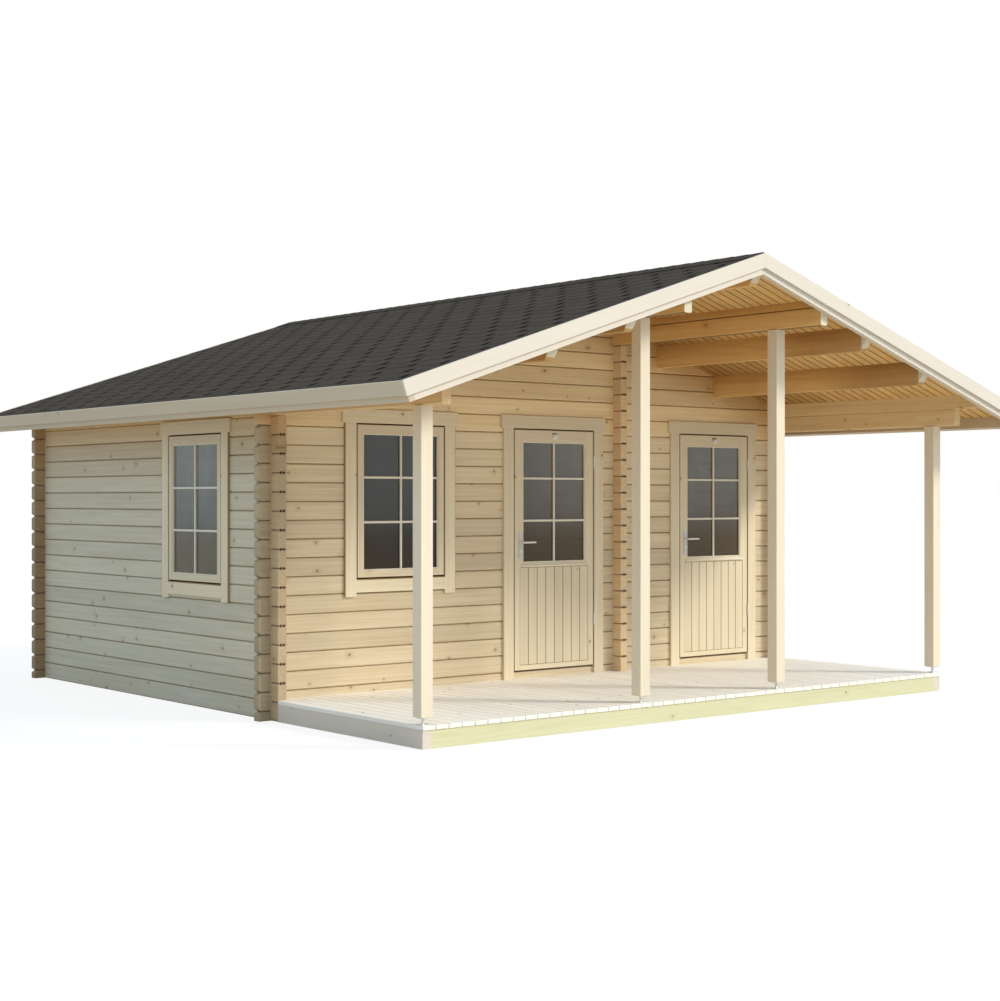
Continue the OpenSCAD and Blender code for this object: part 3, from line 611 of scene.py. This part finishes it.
doors = {}
for k in (1, 2):
    low, high = box(f"door_glass_{k}")
    middle = (low[0] + high[0]) / 2
    head = box(f"door_casing_{k}")[1][2] - HEAD_W
    doors[k] = dict(x=middle, low=low, high=high)
    leaf_low, leaf_high = box(f"door_leaf_{k}")

    def leaf_gap_shade(tree):
        """Painted shade on the leaf's outer arris: 3 mm of its face and 9 mm of its edges, where the gap
        shades them.
        """
        near = calc(tree, "LESS_THAN", axes(tree)[1], leaf_high[1] - LEAF_T + RIM_EDGE)
        half, foot, top = middle - leaf_low[0] - RIM_FACE, leaf_low[2] + RIM_FACE, leaf_high[2] - RIM_FACE
        return [(times(tree, outside(tree, "x", middle, half, foot, top), near), GAP_SHADE)]

    dress(f"door_casing_{k}", joinery(f"door_casing_wood_{k}", ("x", middle, DOOR_CLEAR, head), knots=0.12))
    dress(f"door_frame_{k}", joinery(f"door_frame_wood_{k}", ("x", middle, 0.3, head), FRAME_PAINTED_SHADE))
    leaf_joint = ("x", middle, (high[0] - low[0]) / 2, 9.0)
    dress(f"door_leaf_{k}", joinery(f"door_leaf_wood_{k}", leaf_joint, tint=leaf_gap_shade))
corners = np.array([v.co for v in nodes["window_glass"].data.vertices])
on_side = corners[:, 0] < -HALF_W + 0.1
windows = {}
for name, pane, axis in (("front", corners[~on_side], 0), ("side", corners[on_side], 1)):
    low, high = pane.min(0), pane.max(0)
    letter, middle, pane_half = "xy"[axis], (low[axis] + high[axis]) / 2, (high[axis] - low[axis]) / 2
    head = box(f"{name}_window_casing")[1][2] - HEAD_W
    windows[name] = dict(axis=letter, low=low, high=high, middle=middle)

    def sash_gap_shade(tree):
        """Painted shade on the frame behind the gap round a sash, and on the last 3 mm of the sash's face."""
        half, foot, top = pane_half + SASH_SIDE, low[2] - SASH_SIDE, high[2] + SASH_TOP
        return [(outside(tree, letter, middle, half, foot, top), GAP_SHADE)]

    def casing_edge_shade(tree):
        """Painted shade on the outer edge of the casing, and a painted shadow on the strip of the lower
        casing just under the sash.
        """
        z = axes(tree)[2]
        side = outside(tree, letter, middle, WINDOW_CLEAR + CASING_W - 0.0025)
        over = calc(tree, "GREATER_THAN", z, low[2] - STRIP_LOW)
        under = calc(tree, "LESS_THAN", z, low[2] - STRIP_HIGH)
        inner = rest(tree, outside(tree, letter, middle, WINDOW_CLEAR - 0.0005))
        return [(times(tree, side, calc(tree, "LESS_THAN", z, head)), (0.5, 0.4, 0.3, 1)),
                (times(tree, times(tree, over, under), inner), (0.4, 0.3, 0.2, 1))]

    casing_joint, sash_joint = (letter, middle, WINDOW_CLEAR, head), (letter, middle, pane_half, 9.0)
    casing_wood = joinery(f"{name}_casing_wood", casing_joint, WINDOW_WOOD, 0.12, casing_edge_shade)
    dress(f"{name}_window_casing", casing_wood)
    dress(f"{name}_window_frame", joinery(f"{name}_sash_wood", sash_joint, tint=sash_gap_shade))

# %% [markdown]
# ## Glass, steel and roofing
# Glass is a clear dielectric with a little dust on it: the rooms behind it are dark, and that is what
# makes it look grey. Its tint is browner and darker towards the foot of each pane and towards the left
# of the front window; on the side window it is paler, a painted reflection of the sky.
# The handles are satin steel. Bitumen shingles are covered with crushed stone: tiny grains of
# several greys, rough all over, a bit different from tab to tab.

# %% Glass and steel
glass, tree, pane_shader = new_material("clear_glass")
x, y, z = axes(tree)
lift = smooth(tree, z, 1.05, 1.95)
front_pane_tint = blend_colour(tree, lift, (0.25, 0.17, 0.08, 1), (0.42, 0.39, 0.29, 1))
# The side window's paler tint is a painted reflection of the sky.
side_pane_reflection = blend_colour(tree, lift, (0.52, 0.46, 0.33, 1), (0.92, 0.88, 0.70, 1))
smears = noise(tree, vector(tree, times(tree, x, 3.0), times(tree, y, 3.0), z), 2.5)
front_pane_tint = scaled(tree, front_pane_tint, calc(tree, "MULTIPLY_ADD", smooth(tree, x, -1.6, 0.6), 0.95, 0.55))
pane_tint_and_dust = blend_colour(tree, calc(tree, "LESS_THAN", x, -HALF_W + 0.1), front_pane_tint, side_pane_reflection)
pane_tint_and_dust = scaled(tree, pane_tint_and_dust, calc(tree, "MULTIPLY_ADD", smears, 0.3, 0.85))
fill(tree, pane_shader, {"Base Color": pane_tint_and_dust, "Roughness": 0.07, "Transmission Weight": 0.85, "IOR": 1.5})
dress("door_glass_1 door_glass_2 window_glass", glass)


def brushed_steel(name, dark, pale):
    """Steel with fine upright lines in its colour and its roughness."""
    material, tree, shader = new_material(name)
    fine = put(tree, "ShaderNodeMapping", {"Vector": place_of(tree), "Scale": (900.0, 900.0, 60.0)})
    brushed = noise(tree, fine.outputs[0])
    fill(tree, shader, {"Base Color": blend_colour(tree, brushed, dark, pale), "Metallic": 1.0,
                        "Roughness": calc(tree, "MULTIPLY_ADD", brushed, 0.2, 0.38)})
    return material


steel = brushed_steel("satin_steel", (0.74, 0.73, 0.70, 1), (0.90, 0.89, 0.86, 1))
plate_steel = brushed_steel("aged_steel", (0.46, 0.44, 0.39, 1), (0.66, 0.63, 0.57, 1))
dress("post_feet", steel)
dress("lock_plates_1 lock_plates_2", plate_steel)

# %% Roofing
TONE_S, TONE_Y = 0.1605, 0.3404


def roofing(name, dark, pale):
    """Crushed stone on bitumen: grains of a few greys, one tone for each patch the size of a tab.

    A painted shadow line lies just below the lower edge of each row."""
    material, tree, shader = new_material(name)
    place = place_of(tree)
    x, y, z = axes(tree)
    grains = put(tree, "ShaderNodeTexVoronoi", {"Vector": place, "Scale": 420.0}, voronoi_dimensions="3D")
    patch = noise(tree, place, 14.0, 3.0)
    s = calc(tree, "DIVIDE", calc(tree, "ABSOLUTE", x), COS)
    row, column = (calc(tree, "FLOOR", calc(tree, "DIVIDE", a, b)) for a, b in ((s, TONE_S), (y, TONE_Y)))
    cell = vector(tree, row, column, calc(tree, "SIGN", x))
    tab = put(tree, "ShaderNodeTexWhiteNoise", {"Vector": cell}, noise_dimensions="3D").outputs["Value"]
    grain = put(tree, "ShaderNodeSeparateColor", {0: grains.outputs["Color"]}).outputs[0]
    tone = calc(tree, "ADD", times(tree, patch, 0.5), times(tree, tab, 0.12))
    stone = blend_colour(tree, calc(tree, "ADD", times(tree, grain, 0.55), tone, clamp=True), dark, pale)
    under = calc(tree, "FRACT", calc(tree, "DIVIDE", calc(tree, "SUBTRACT", s, 0.018), ROW))
    butt_shadow = times(tree, calc(tree, "LESS_THAN", under, 0.045), 0.55)
    bump = {"Strength": 0.35, "Distance": 0.002, "Height": grains.outputs["Distance"]}
    fill(tree, shader, {"Base Color": blend_colour(tree, butt_shadow, stone, (0.006, 0.005, 0.004, 1)),
                        "Normal": put(tree, "ShaderNodeBump", bump).outputs[0], "Roughness": 0.95,
                        "Specular IOR Level": 0.02})
    return material


stone_grit = roofing("stone_grit", (0.034, 0.027, 0.021, 1), (0.112, 0.092, 0.071, 1))
shadow_band = roofing("shadow_band", (0.001, 0.001, 0.001, 1), (0.005, 0.004, 0.004, 1))
dress("shingles_left shingles_right", shadow_band)

# %% [markdown]
# ## Shingles
# A strip of shingles is nailed in rows that overlap like fish scales. Each row is a line of tabs
# with a notch between neighbours, and every second row is moved by half a tab. Each tab here is its
# own closed plate: the outline below, laid on the slope, thicker towards its lower edge because it
# rests on the row under it. The solid roof under them shows through the notches as the dark band.

# %% Shingle tabs
BASE_D = BOARD_D + SHINGLE_D
roof_y0, roof_y1 = box("shingles_right")[0][1], box("shingles_right")[1][1]
SHINGLE_S = EAVE_S - 0.001
# Where the lowest row ends, and where a tab begins in even and in odd rows.
ROW_0, EVEN_Y, ODD_Y = 3.346, -0.116, -0.285
grid = np.meshgrid(np.arange(21), np.arange(-11, 12), indexing="ij")
row_grid, column_grid = (g.reshape(-1) for g in grid)
left_edge = column_grid * TAB + np.where(row_grid % 2 == 1, ODD_Y, EVEN_Y)
lower_s = ROW_0 - row_grid * ROW
seen = (lower_s - ROW < SHINGLE_S) & (lower_s > 0.02)
seen &= (left_edge < roof_y1 - 0.04) & (left_edge + TAB > roof_y0 + 0.04)
left_edge, lower_s = left_edge[seen], lower_s[seen]
n = NOTCH / 2
outline_y = np.array([n * 0.85, n, TAB - n, TAB - n * 0.85, TAB - 0.002, TAB - 0.002, 0.002, 0.002])
outline_s = np.array([-NOTCH_H, 0.0, 0.0, -NOTCH_H, -NOTCH_H, -ROW - 0.002, -ROW - 0.002, -NOTCH_H])
tab_y = np.clip(left_edge[:, None] + outline_y, roof_y0, roof_y1)
tab_s = np.clip(lower_s[:, None] + outline_s, 0.012, SHINGLE_S)
tab_d = BASE_D + 0.0012 + 0.0007 * np.clip(1 + outline_s / ROW, 0, 1)
size = len(outline_y)
k = np.arange(size)
first = (np.arange(len(left_edge)) * 2 * size)[:, None]
for side, label in ((-1, "left"), (1, "right")):
    top = on_slope(side, tab_s, tab_y, tab_d[None])
    bottom = on_slope(side, tab_s, tab_y, BASE_D - 0.001)
    vertices = np.stack([top, bottom], 1).reshape(-1, 3)
    order = k if side > 0 else k[::-1]
    nxt = np.roll(order, -1)
    tops, bottoms = first + order, first + size + order[::-1]
    walls = np.stack([first + size + order, first + size + nxt, first + nxt, first + order], -1)
    faces = tops.tolist() + bottoms.tolist() + walls.reshape(-1, 4).tolist()
    piece(f"shingle_tabs_{label}", vertices, faces, stone_grit, slot="shingle")

# %% [markdown]
# ## Ridge
# The ridge is closed with single shingles bent over it, each covering part of the one before. A thin
# bent outline swept for a short way along the ridge makes one of them; each starts a little higher at
# its open end.

# %% Ridge caps
cap_step = 0.145
cap_y = np.arange(roof_y0, roof_y1 - 0.01, cap_step)
cap_end = np.minimum(cap_y + cap_step, roof_y1)
reach_s = 0.138
peak = RIDGE + (BASE_D + 0.0105) / COS
arm = reach_s * COS + BASE_D * SIN
drop = arm * TAN + 0.0035 / COS
cap_outline = [(-arm, -drop), (-arm - 0.001, -drop - 0.0035), (0, -0.0045),
               (arm + 0.001, -drop - 0.0035), (arm, -drop), (0, 0)]
caps_start = np.stack([0 * cap_y, cap_y, 0 * cap_y + peak + 0.0015], -1)
caps_end = np.stack([0 * cap_y, cap_end, 0 * cap_y + peak - 0.0015], -1)
caps = sweep(cap_outline, caps_start, caps_end, (0, 0, 1))
ridge_piece = piece("ridge_cap_shingles", *caps, stone_grit, slot="shingle")
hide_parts("ridge_cap")

# %% [markdown]
# ## Roof boards
# Tongued and grooved boards lie up the slope over the purlins. From under the terrace roof their
# V-shaped joints are what the eye sees, so each board's outline has two small bevels on its lower
# edges, and all boards are swept at once from the ridge to the eave.

# %% Roof boards
PLANK = 0.088
plank_y = np.arange(ROOF_LOW[1], ROOF_HIGH[1] - 0.001, PLANK)
plank_end = np.minimum(plank_y + PLANK, ROOF_HIGH[1])
plank_middle, plank_half = (plank_y + plank_end) / 2, (plank_end - plank_y) / 2
underside_wood = wood("underside_wood", "slope", *WARM_AND_PAINTED_BOUNCE, board=PLANK, shift=-ROOF_LOW[1], knots=0.16,
                      variation=0.25, seam=0.9, reach=0.011, tint=shade_near_wall)
for side, label in ((-1, "left"), (1, "right")):
    parts = []
    for half in np.unique(np.round(plank_half, 6)):
        chosen = np.abs(plank_half - half) < 1e-5
        w, t, v = half - 0.0002, BOARD_D - 0.0002, 0.005
        outline = [(-w + v, 0), (w - v, 0), (w, v), (w, t), (-w, t), (-w, v)]
        middle = plank_middle[chosen]
        start, end = (on_slope(side, s, middle, 0.0) for s in (0.0, EAVE_S))
        parts.append(sweep(outline, start, end, (side * SIN, 0, COS)))
    planks = piece(f"roof_planks_{label}", *join(*parts), underside_wood, slot="roof_pine")
    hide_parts(f"roof_boards_{label}")

# %% [markdown]
# ## Terrace and floor
# Deck boards run from the wall to the front edge with a gap for rain between them, and their ends
# overhang the beam a little. Where a wall's log ends come down through the deck, the board is cut
# short and a narrow strip fills the rest. Inside, the floor boards lie close together.

# %% Deck and floor boards
FIRST_BOARD, DECK_BOARD, FLOOR_BOARD, HALF_GAP = 0.098, 0.10526, 0.12, 0.0035
deck_wood = wood("deck_wood", "y_side", (0.98, 0.95, 0.87), (0.94, 0.89, 0.77), board=DECK_BOARD,
                 shift=HALF_W - FIRST_BOARD, knots=0.14, variation=0.10)
edges = np.concatenate([[-HALF_W], np.linspace(-HALF_W + FIRST_BOARD, HALF_W, 50)])
x0, x1 = edges[:-1] + HALF_GAP, edges[1:] - HALF_GAP
x0[0], x1[-1] = -HALF_W, HALF_W
ends = [(-HALF_W, -HALF_W + LOG_T), (PARTITION - LOG_T / 2, PARTITION + LOG_T / 2), (HALF_W - LOG_T, HALF_W)]
back, cut_y = np.full(len(x0), FRONT_Y), FRONT_Y - LOG_END - 0.001
strips = []
for a, b in ends:
    hit = (x0 < b - 0.004) & (x1 > a + 0.004)
    back[hit] = cut_y
    for i in np.flatnonzero(hit):
        if a - x0[i] > 0.012:
            strips.append((x0[i], a - 0.001))
        if x1[i] - b > 0.012:
            strips.append((b + 0.001, x1[i]))
strips = np.array(strips)
z0, z1 = DECK_LOW[2], DECK_HIGH[2]
deck = join(
    boards(x0, x1, DECK_LOW[1], back, z0, z1, "y", 0.003),
    boards(strips[:, 0], strips[:, 1], cut_y, FRONT_Y, z0, z1, "y", 0.003),
)
deck_piece = piece("deck_planks", *deck, deck_wood, slot="planed_pine")
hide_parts("deck_boards")

floor_wood = wood("floor_wood", "y_side", (0.80, 0.70, 0.52), (0.70, 0.56, 0.38), board=FLOOR_BOARD,
                  knots=0.2, variation=0.2)
floor_low, floor_high = box("floor_boards")
floor_parts = []
for a, b in ((floor_low[0], PARTITION - LOG_T / 2), (PARTITION + LOG_T / 2, floor_high[0])):
    lines = np.linspace(a, b, round((b - a) / FLOOR_BOARD) + 1)
    floor_parts.append(boards(lines[:-1] + 0.0003, lines[1:] - 0.0003, floor_low[1], floor_high[1],
                              floor_low[2], floor_high[2], "y", 0.002))
floor_piece = piece("floor_planks", *join(*floor_parts), floor_wood, slot="floor_pine")
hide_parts("floor_boards")

# %% [markdown]
# ## Log ends
# Each log has two tongues on top and two grooves below. On the sawn ends the shade in the grooves shows
# as two small dark marks at every seam, which makes the corners look like laced seams. They are thin dark
# plates here, let into the end faces, a painted shade; a thin dark strip along each seam marks the joint.

# %% Groove marks on the log ends
# Painted shade: near black, for the grooves' shade on the log ends and the knob's shadow on each door.
painted_shade_dark = speckled("groove_shadow", (0.030, 0.018, 0.010, 1), (0.090, 0.055, 0.030, 1), 300.0, 0.9)
marks = []
wall_lines = [-HALF_W + LOG_T / 2, HALF_W - LOG_T / 2]
for line, top in ((wall_lines[0], 16), (wall_lines[1], 16), (PARTITION, 21)):
    for face in (FRONT_Y - LOG_END, BACK_Y + LOG_END):
        marks += [(line, face, LOG_H * s) for s in range(1, top)]
marks = np.array(marks)
across = marks[:, [0]] + np.array([[-0.012, 0.012]])
face, seam_z = np.repeat(marks[:, [1]], 2, 1), np.repeat(marks[:, [2]], 2, 1)
half, rise = 0.0078, 0.0095
plates = boards(across - half, across + half, face - 0.0008, face + 0.0008, seam_z - rise, seam_z + rise,
                "z", 0.0002)
line_x, line_y, line_z = marks.T
seams = boards(line_x - 0.0345, line_x + 0.0345, line_y - 0.0006, line_y + 0.0006,
               line_z - 0.0024, line_z + 0.0024, "x", 0.0002)
piece("groove_marks", *join(plates, seams), painted_shade_dark, slot="log_pine")

# %% [markdown]
# ## Windows
# The sash holds one pane, and bars laid over it on both faces divide it in six. A thin bead runs
# round the pane. Bars and beads are the same light planed wood as the sash.

# %% Bars and beads of the windows
bead_wood = wood("bead_wood", "z", (0.86, 0.80, 0.66), (0.80, 0.71, 0.55), board=0.05, knots=0.0,
                 variation=0.05)
BEAD = 0.008


def bars(axis, middle, low, high, cross, upright, outer, inner):
    """Beads and bars over a pane, on the faces at depth outer and inner.

    low and high are the pane's corners; cross holds the heights of the level bars."""
    a = "xy".index(axis)
    b = 1 - a
    near, far = low[a] + BEAD, high[a] - BEAD
    half = upright / 2
    lines = [(low[a], near, low[2], high[2], "z"), (far, high[a], low[2], high[2], "z"),
             (near, far, low[2], low[2] + BEAD, axis), (near, far, high[2] - BEAD, high[2], axis),
             (middle - half, middle + half, low[2] + BEAD, high[2] - BEAD, "z")]
    for z in cross:
        spans = (near, middle - half), (middle + half, far)
        lines += [(u0, u1, z - half, z + half, axis) for u0, u1 in spans]
    parts = []
    for reach, plane in ((outer, low[b]), (inner, high[b])):
        for u0, u1, v0, v1, way in lines:
            span = {axis: (u0, u1), "xy"[b]: sorted((plane, plane + reach)), "z": (v0, v1)}
            parts.append(boards(*span["x"], *span["y"], *span["z"], way, 0.003))
    return join(*parts)


for name, w in windows.items():
    low, high = w["low"], w["high"]
    heights = low[2] + (high[2] - low[2]) * np.array([0.3517, 0.680] if name == "front" else [0.336, 0.664])
    made = bars(w["axis"], w["middle"], low, high, heights, 0.017, -0.015, 0.012)
    piece(f"{name}_window_bars", *made, bead_wood, slot="casing_pine")

# %% [markdown]
# ## Door leaves
# Under the glass of each leaf eight narrow boards fill the sunk panel, on both faces, and a small
# moulded ledge throws rain off between them. The boards are swept upwards with bevelled edges, so
# their joints show as fine dark lines.

# %% Panels, ledges and bars of the doors
PANEL_HALF, PANEL_BOARDS = 0.363, 8
PANEL_LOW, PANEL_HIGH = 0.0415, 0.8145
for k, door in doors.items():
    body = f"door_{k}"
    low, high, middle = door["low"], door["high"], door["x"]
    leaf_low, leaf_high = box(f"door_leaf_{k}")
    out_y, in_y = leaf_high[1] - LEAF_T, leaf_high[1]
    foot = leaf_low[2]
    lines = middle + np.linspace(-PANEL_HALF, PANEL_HALF, PANEL_BOARDS + 1)

    def panel_edge_shade(tree):
        """Painted shade on the outer 3 mm of the boarded panel, where the leaf round it shades it."""
        low_z, high_z = foot + PANEL_LOW + RIM_FACE, foot + PANEL_HIGH - RIM_FACE
        return [(outside(tree, "x", middle, PANEL_HALF - RIM_FACE, low_z, high_z), GAP_SHADE)]

    panel_wood = wood(f"panel_wood_{k}", "z", (0.75, 0.65, 0.46), (0.66, 0.54, 0.36),
                      board=2 * PANEL_HALF / PANEL_BOARDS, shift=PANEL_HALF - middle, knots=0.06,
                      variation=0.10, seam=0.75, tint=panel_edge_shade)
    panel = join(*[
        boards(lines[:-1] + 0.0006, lines[1:] - 0.0006, y0, y0 + 0.0055, foot + PANEL_LOW,
               foot + PANEL_HIGH, "z", 0.003)
        for y0 in (out_y + 0.0024, in_y - 0.0079)
    ])
    piece(f"door_panel_{k}", *panel, panel_wood, body, "door_pine")
    step = [(0, 0), (0.012, 0.002), (0.014, 0.006), (0.010, 0.012), (0.004, 0.017), (0, 0.020)]
    z = foot + 0.821
    outer = sweep(step, (middle - 0.350, out_y, z), (middle + 0.350, out_y, z), (0, 0, 1))
    inner = sweep(step, (middle + 0.350, in_y, z), (middle - 0.350, in_y, z), (0, 0, 1))
    piece(f"door_ledge_{k}", *join(outer, inner), bead_wood, body, "door_pine")
    made = bars("x", middle, low, high, (low[2] + 0.332, low[2] + 0.668), 0.016, -0.015, 0.014)
    piece(f"door_bars_{k}", *made, bead_wood, body, "door_pine")

# %% [markdown]
# ## Hinges, locks and handles
# The barrel of a hinge turns on a pin between two halves, one on the frame and one on the leaf. A
# thin steel sleeve with a rounded tip covers each half. The handle is one bent bar: a circle carried
# along a path that leaves the plate, turns a tight corner and runs level, on both faces of the door.


# %% Handles
def bent_bar(path, radii, steps=16):
    """Carries a circle along a path in the x-y plane.

    vertex = path point + radius * (cos t * normal + sin t * z), with the normal square to the path."""
    path = np.asarray(path, float)
    tangent = unit(np.gradient(path, axis=0))
    normal = np.cross((0, 0, 1.0), tangent)
    t = np.linspace(0, 2 * np.pi, steps, endpoint=False)
    circle = np.cos(t)[None, :, None] * normal[:, None] + np.sin(t)[None, :, None] * np.array([0, 0, 1.0])
    vertices = path[:, None] + np.asarray(radii)[:, None, None] * circle
    return vertices.reshape(-1, 3), tube_faces(len(path), steps)


REACH, BEND, BAR_R = 0.066, 0.014, 0.0088
for k, door in doors.items():
    lever_low, lever_high = box(f"door_lever_{k}")
    spindle_x, spindle_z = lever_low[0] + 0.009, (lever_low[2] + lever_high[2]) / 2
    middle_y = (lever_low[1] + lever_high[1]) / 2
    centre = (spindle_x, middle_y, spindle_z)
    t = np.linspace(0, np.pi / 2, 8)
    arm = np.linspace(BEND, 0.123, 12)[1:]
    path = np.concatenate([
        np.stack([np.zeros(4), np.linspace(0.0235, REACH - BEND, 4), np.zeros(4)], -1),
        np.stack([BEND - BEND * np.cos(t), REACH - BEND + BEND * np.sin(t), 0 * t], -1)[1:],
        np.stack([arm, REACH - 0.004 * ((arm - BEND) / 0.109) ** 2, 0 * arm], -1),
        [[0.1255, REACH - 0.004, 0], [0.1265, REACH - 0.004, 0]],
    ])
    radii = np.concatenate([np.full(11, BAR_R), np.linspace(BAR_R, 0.0082, 11), [0.0065, 0.0035]])
    parts = [bent_bar(path * (1, face, 1) + centre, radii) for face in (-1, 1)]
    rod = turn([(0.005, -0.030), (0.005, 0.030)], centre, (0, 1, 0))
    handle = piece(f"handle_{k}", *join(*parts, rod), steel, f"lever_{k}", "steel", smooth=True)
    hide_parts(f"door_lever_{k}")
    rose = [(0.0125, -0.0005), (0.0125, 0.0015), (0.0115, 0.0022)]
    lock = [(0.0085, -0.0005), (0.0085, 0.0035), (0.0075, 0.0045)]
    screw = [(0.0042, -0.0005), (0.0040, 0.0008), (0.0024, 0.0014)]
    details = [
        turn(profile, (spindle_x, middle_y + 0.023 * face, spindle_z + dz), (0, face, 0))
        for face in (-1, 1) for profile, dz in ((rose, 0.0), (lock, -0.072), (screw, 0.064), (screw, -0.118))
    ]
    piece(f"lock_details_{k}", *join(*details), steel, f"door_{k}", "steel")

# %% Hinges and knobs
bright_zinc = speckled("bright_zinc", (0.80, 0.78, 0.72, 1), (0.95, 0.94, 0.90, 1), 260.0, 0.35)
PIN_IN, HINGE_HEIGHTS = 0.006, (0.379, 1.657)
sleeve = [(0.0064, 0.0004), (0.0064, 0.0440), (0.0058, 0.0456), (0.0030, 0.0480), (0.0016, 0.0486)]
knob_profile = [(0.020, -0.0005), (0.020, 0.002), (0.011, 0.004), (0.010, 0.012), (0.016, 0.016),
                (0.018, 0.021), (0.012, 0.026)]
for k, door in doors.items():
    leaf_low, leaf_high = box(f"door_leaf_{k}")
    pin_x, pin_y, foot = leaf_high[0] - PIN_IN, leaf_low[1] + PIN_IN, leaf_low[2]
    for body, sign, side in ((f"door_{k}", -1, "leaf"), ("cabin", 1, "frame")):
        sleeves = [turn(sleeve, (pin_x, pin_y, foot + height), (0, 0, sign), 20) for height in HINGE_HEIGHTS]
        piece(f"hinge_sleeves_{side}_{k}", *join(*sleeves), steel, body, "steel")
    out_y, knob_x, knob_z = leaf_high[1] - LEAF_T, door["x"], foot + 1.855
    knob = turn(knob_profile, (knob_x, out_y, knob_z), (0, -1, 0))
    piece(f"door_knob_{k}", *knob, bright_zinc, f"door_{k}", "steel")
    # A thin dark plate just above each knob: the knob's painted shadow.
    knob_shadow_strip = boards(knob_x - 0.026, knob_x + 0.026, out_y - 0.003, out_y + 0.0004,
                   knob_z + 0.022, knob_z + 0.029, "x", 0.001)
    piece(f"knob_shadow_{k}", *knob_shadow_strip, painted_shade_dark, f"door_{k}", "steel")

# %% [markdown]
# ## Light and ground
# A low sun from the front right reaches under the terrace roof and draws the posts' soft shadows; a
# pale, slightly blue sky fills the rest. The ground is white where the camera looks at it, but sends
# only modest light back up, so that shaded walls stay in the shade.

# %% Sun, sky and ground
def sunlight(name, energy, angle, colour, towards):
    """A distant lamp in the direction towards (x, y, z), as wide in the sky as angle degrees."""
    lamp = bpy.data.lights.new(name, "SUN")
    lamp.energy, lamp.angle, lamp.color = energy, math.radians(angle), colour
    x, y, z = unit(np.array(towards))
    add(name, lamp).rotation_euler = (math.acos(z), 0, math.atan2(x, -y))


sunlight("sun", 2.35, 12, (1.0, 0.95, 0.86), (0.598, -0.601, 0.530))
sunlight("bright_haze", 0.5, 70, (0.98, 0.95, 0.87), (0.45, -0.85, 0.26))

def show(tree, unseen, seen, output):
    """Sends one shader to the camera and another to all other rays."""
    ray = put(tree, "ShaderNodeLightPath").outputs["Is Camera Ray"]
    both = put(tree, "ShaderNodeMixShader", {0: ray, 1: unseen.outputs[0], 2: seen.outputs[0]})
    put(tree, output, {0: both.outputs[0]})


world = bpy.data.worlds.new("sky")
world.use_nodes = True
scene.world = world
tree = world.node_tree
tree.nodes.clear()
sky = put(tree, "ShaderNodeBackground", {"Color": (0.68, 0.83, 1.0, 1), "Strength": 0.86})
plain = put(tree, "ShaderNodeBackground", {"Color": (1, 1, 1, 1), "Strength": 1.0})
show(tree, sky, plain, "ShaderNodeOutputWorld")

ground_mesh = bpy.data.meshes.new("ground")
corners = [(x, y, -0.002) for x, y in ((-60, -60), (60, -60), (60, 60), (-60, 60))]
ground_mesh.from_pydata(corners, [], [(0, 1, 2, 3)])
ground = add("ground", ground_mesh)
ground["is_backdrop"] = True
pale, tree, shader = new_material("pale_ground")
tree.nodes.clear()
matt = put(tree, "ShaderNodeBsdfDiffuse", {"Color": (0.62, 0.56, 0.47, 1)})
glow = put(tree, "ShaderNodeEmission", {"Color": (1, 1, 1, 1), "Strength": 0.86})
grey = put(tree, "ShaderNodeBsdfDiffuse", {"Color": (0.15, 0.15, 0.15, 1)})
white = put(tree, "ShaderNodeAddShader", {0: glow.outputs[0], 1: grey.outputs[0]})
show(tree, matt, white, "ShaderNodeOutputMaterial")
ground_mesh.materials.append(pale)
scene.view_settings.view_transform = "Standard"
print("sun and sky are set")

# %% Measure and finish
low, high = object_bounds()
print("visual box from", tuple(low), "to", tuple(high))
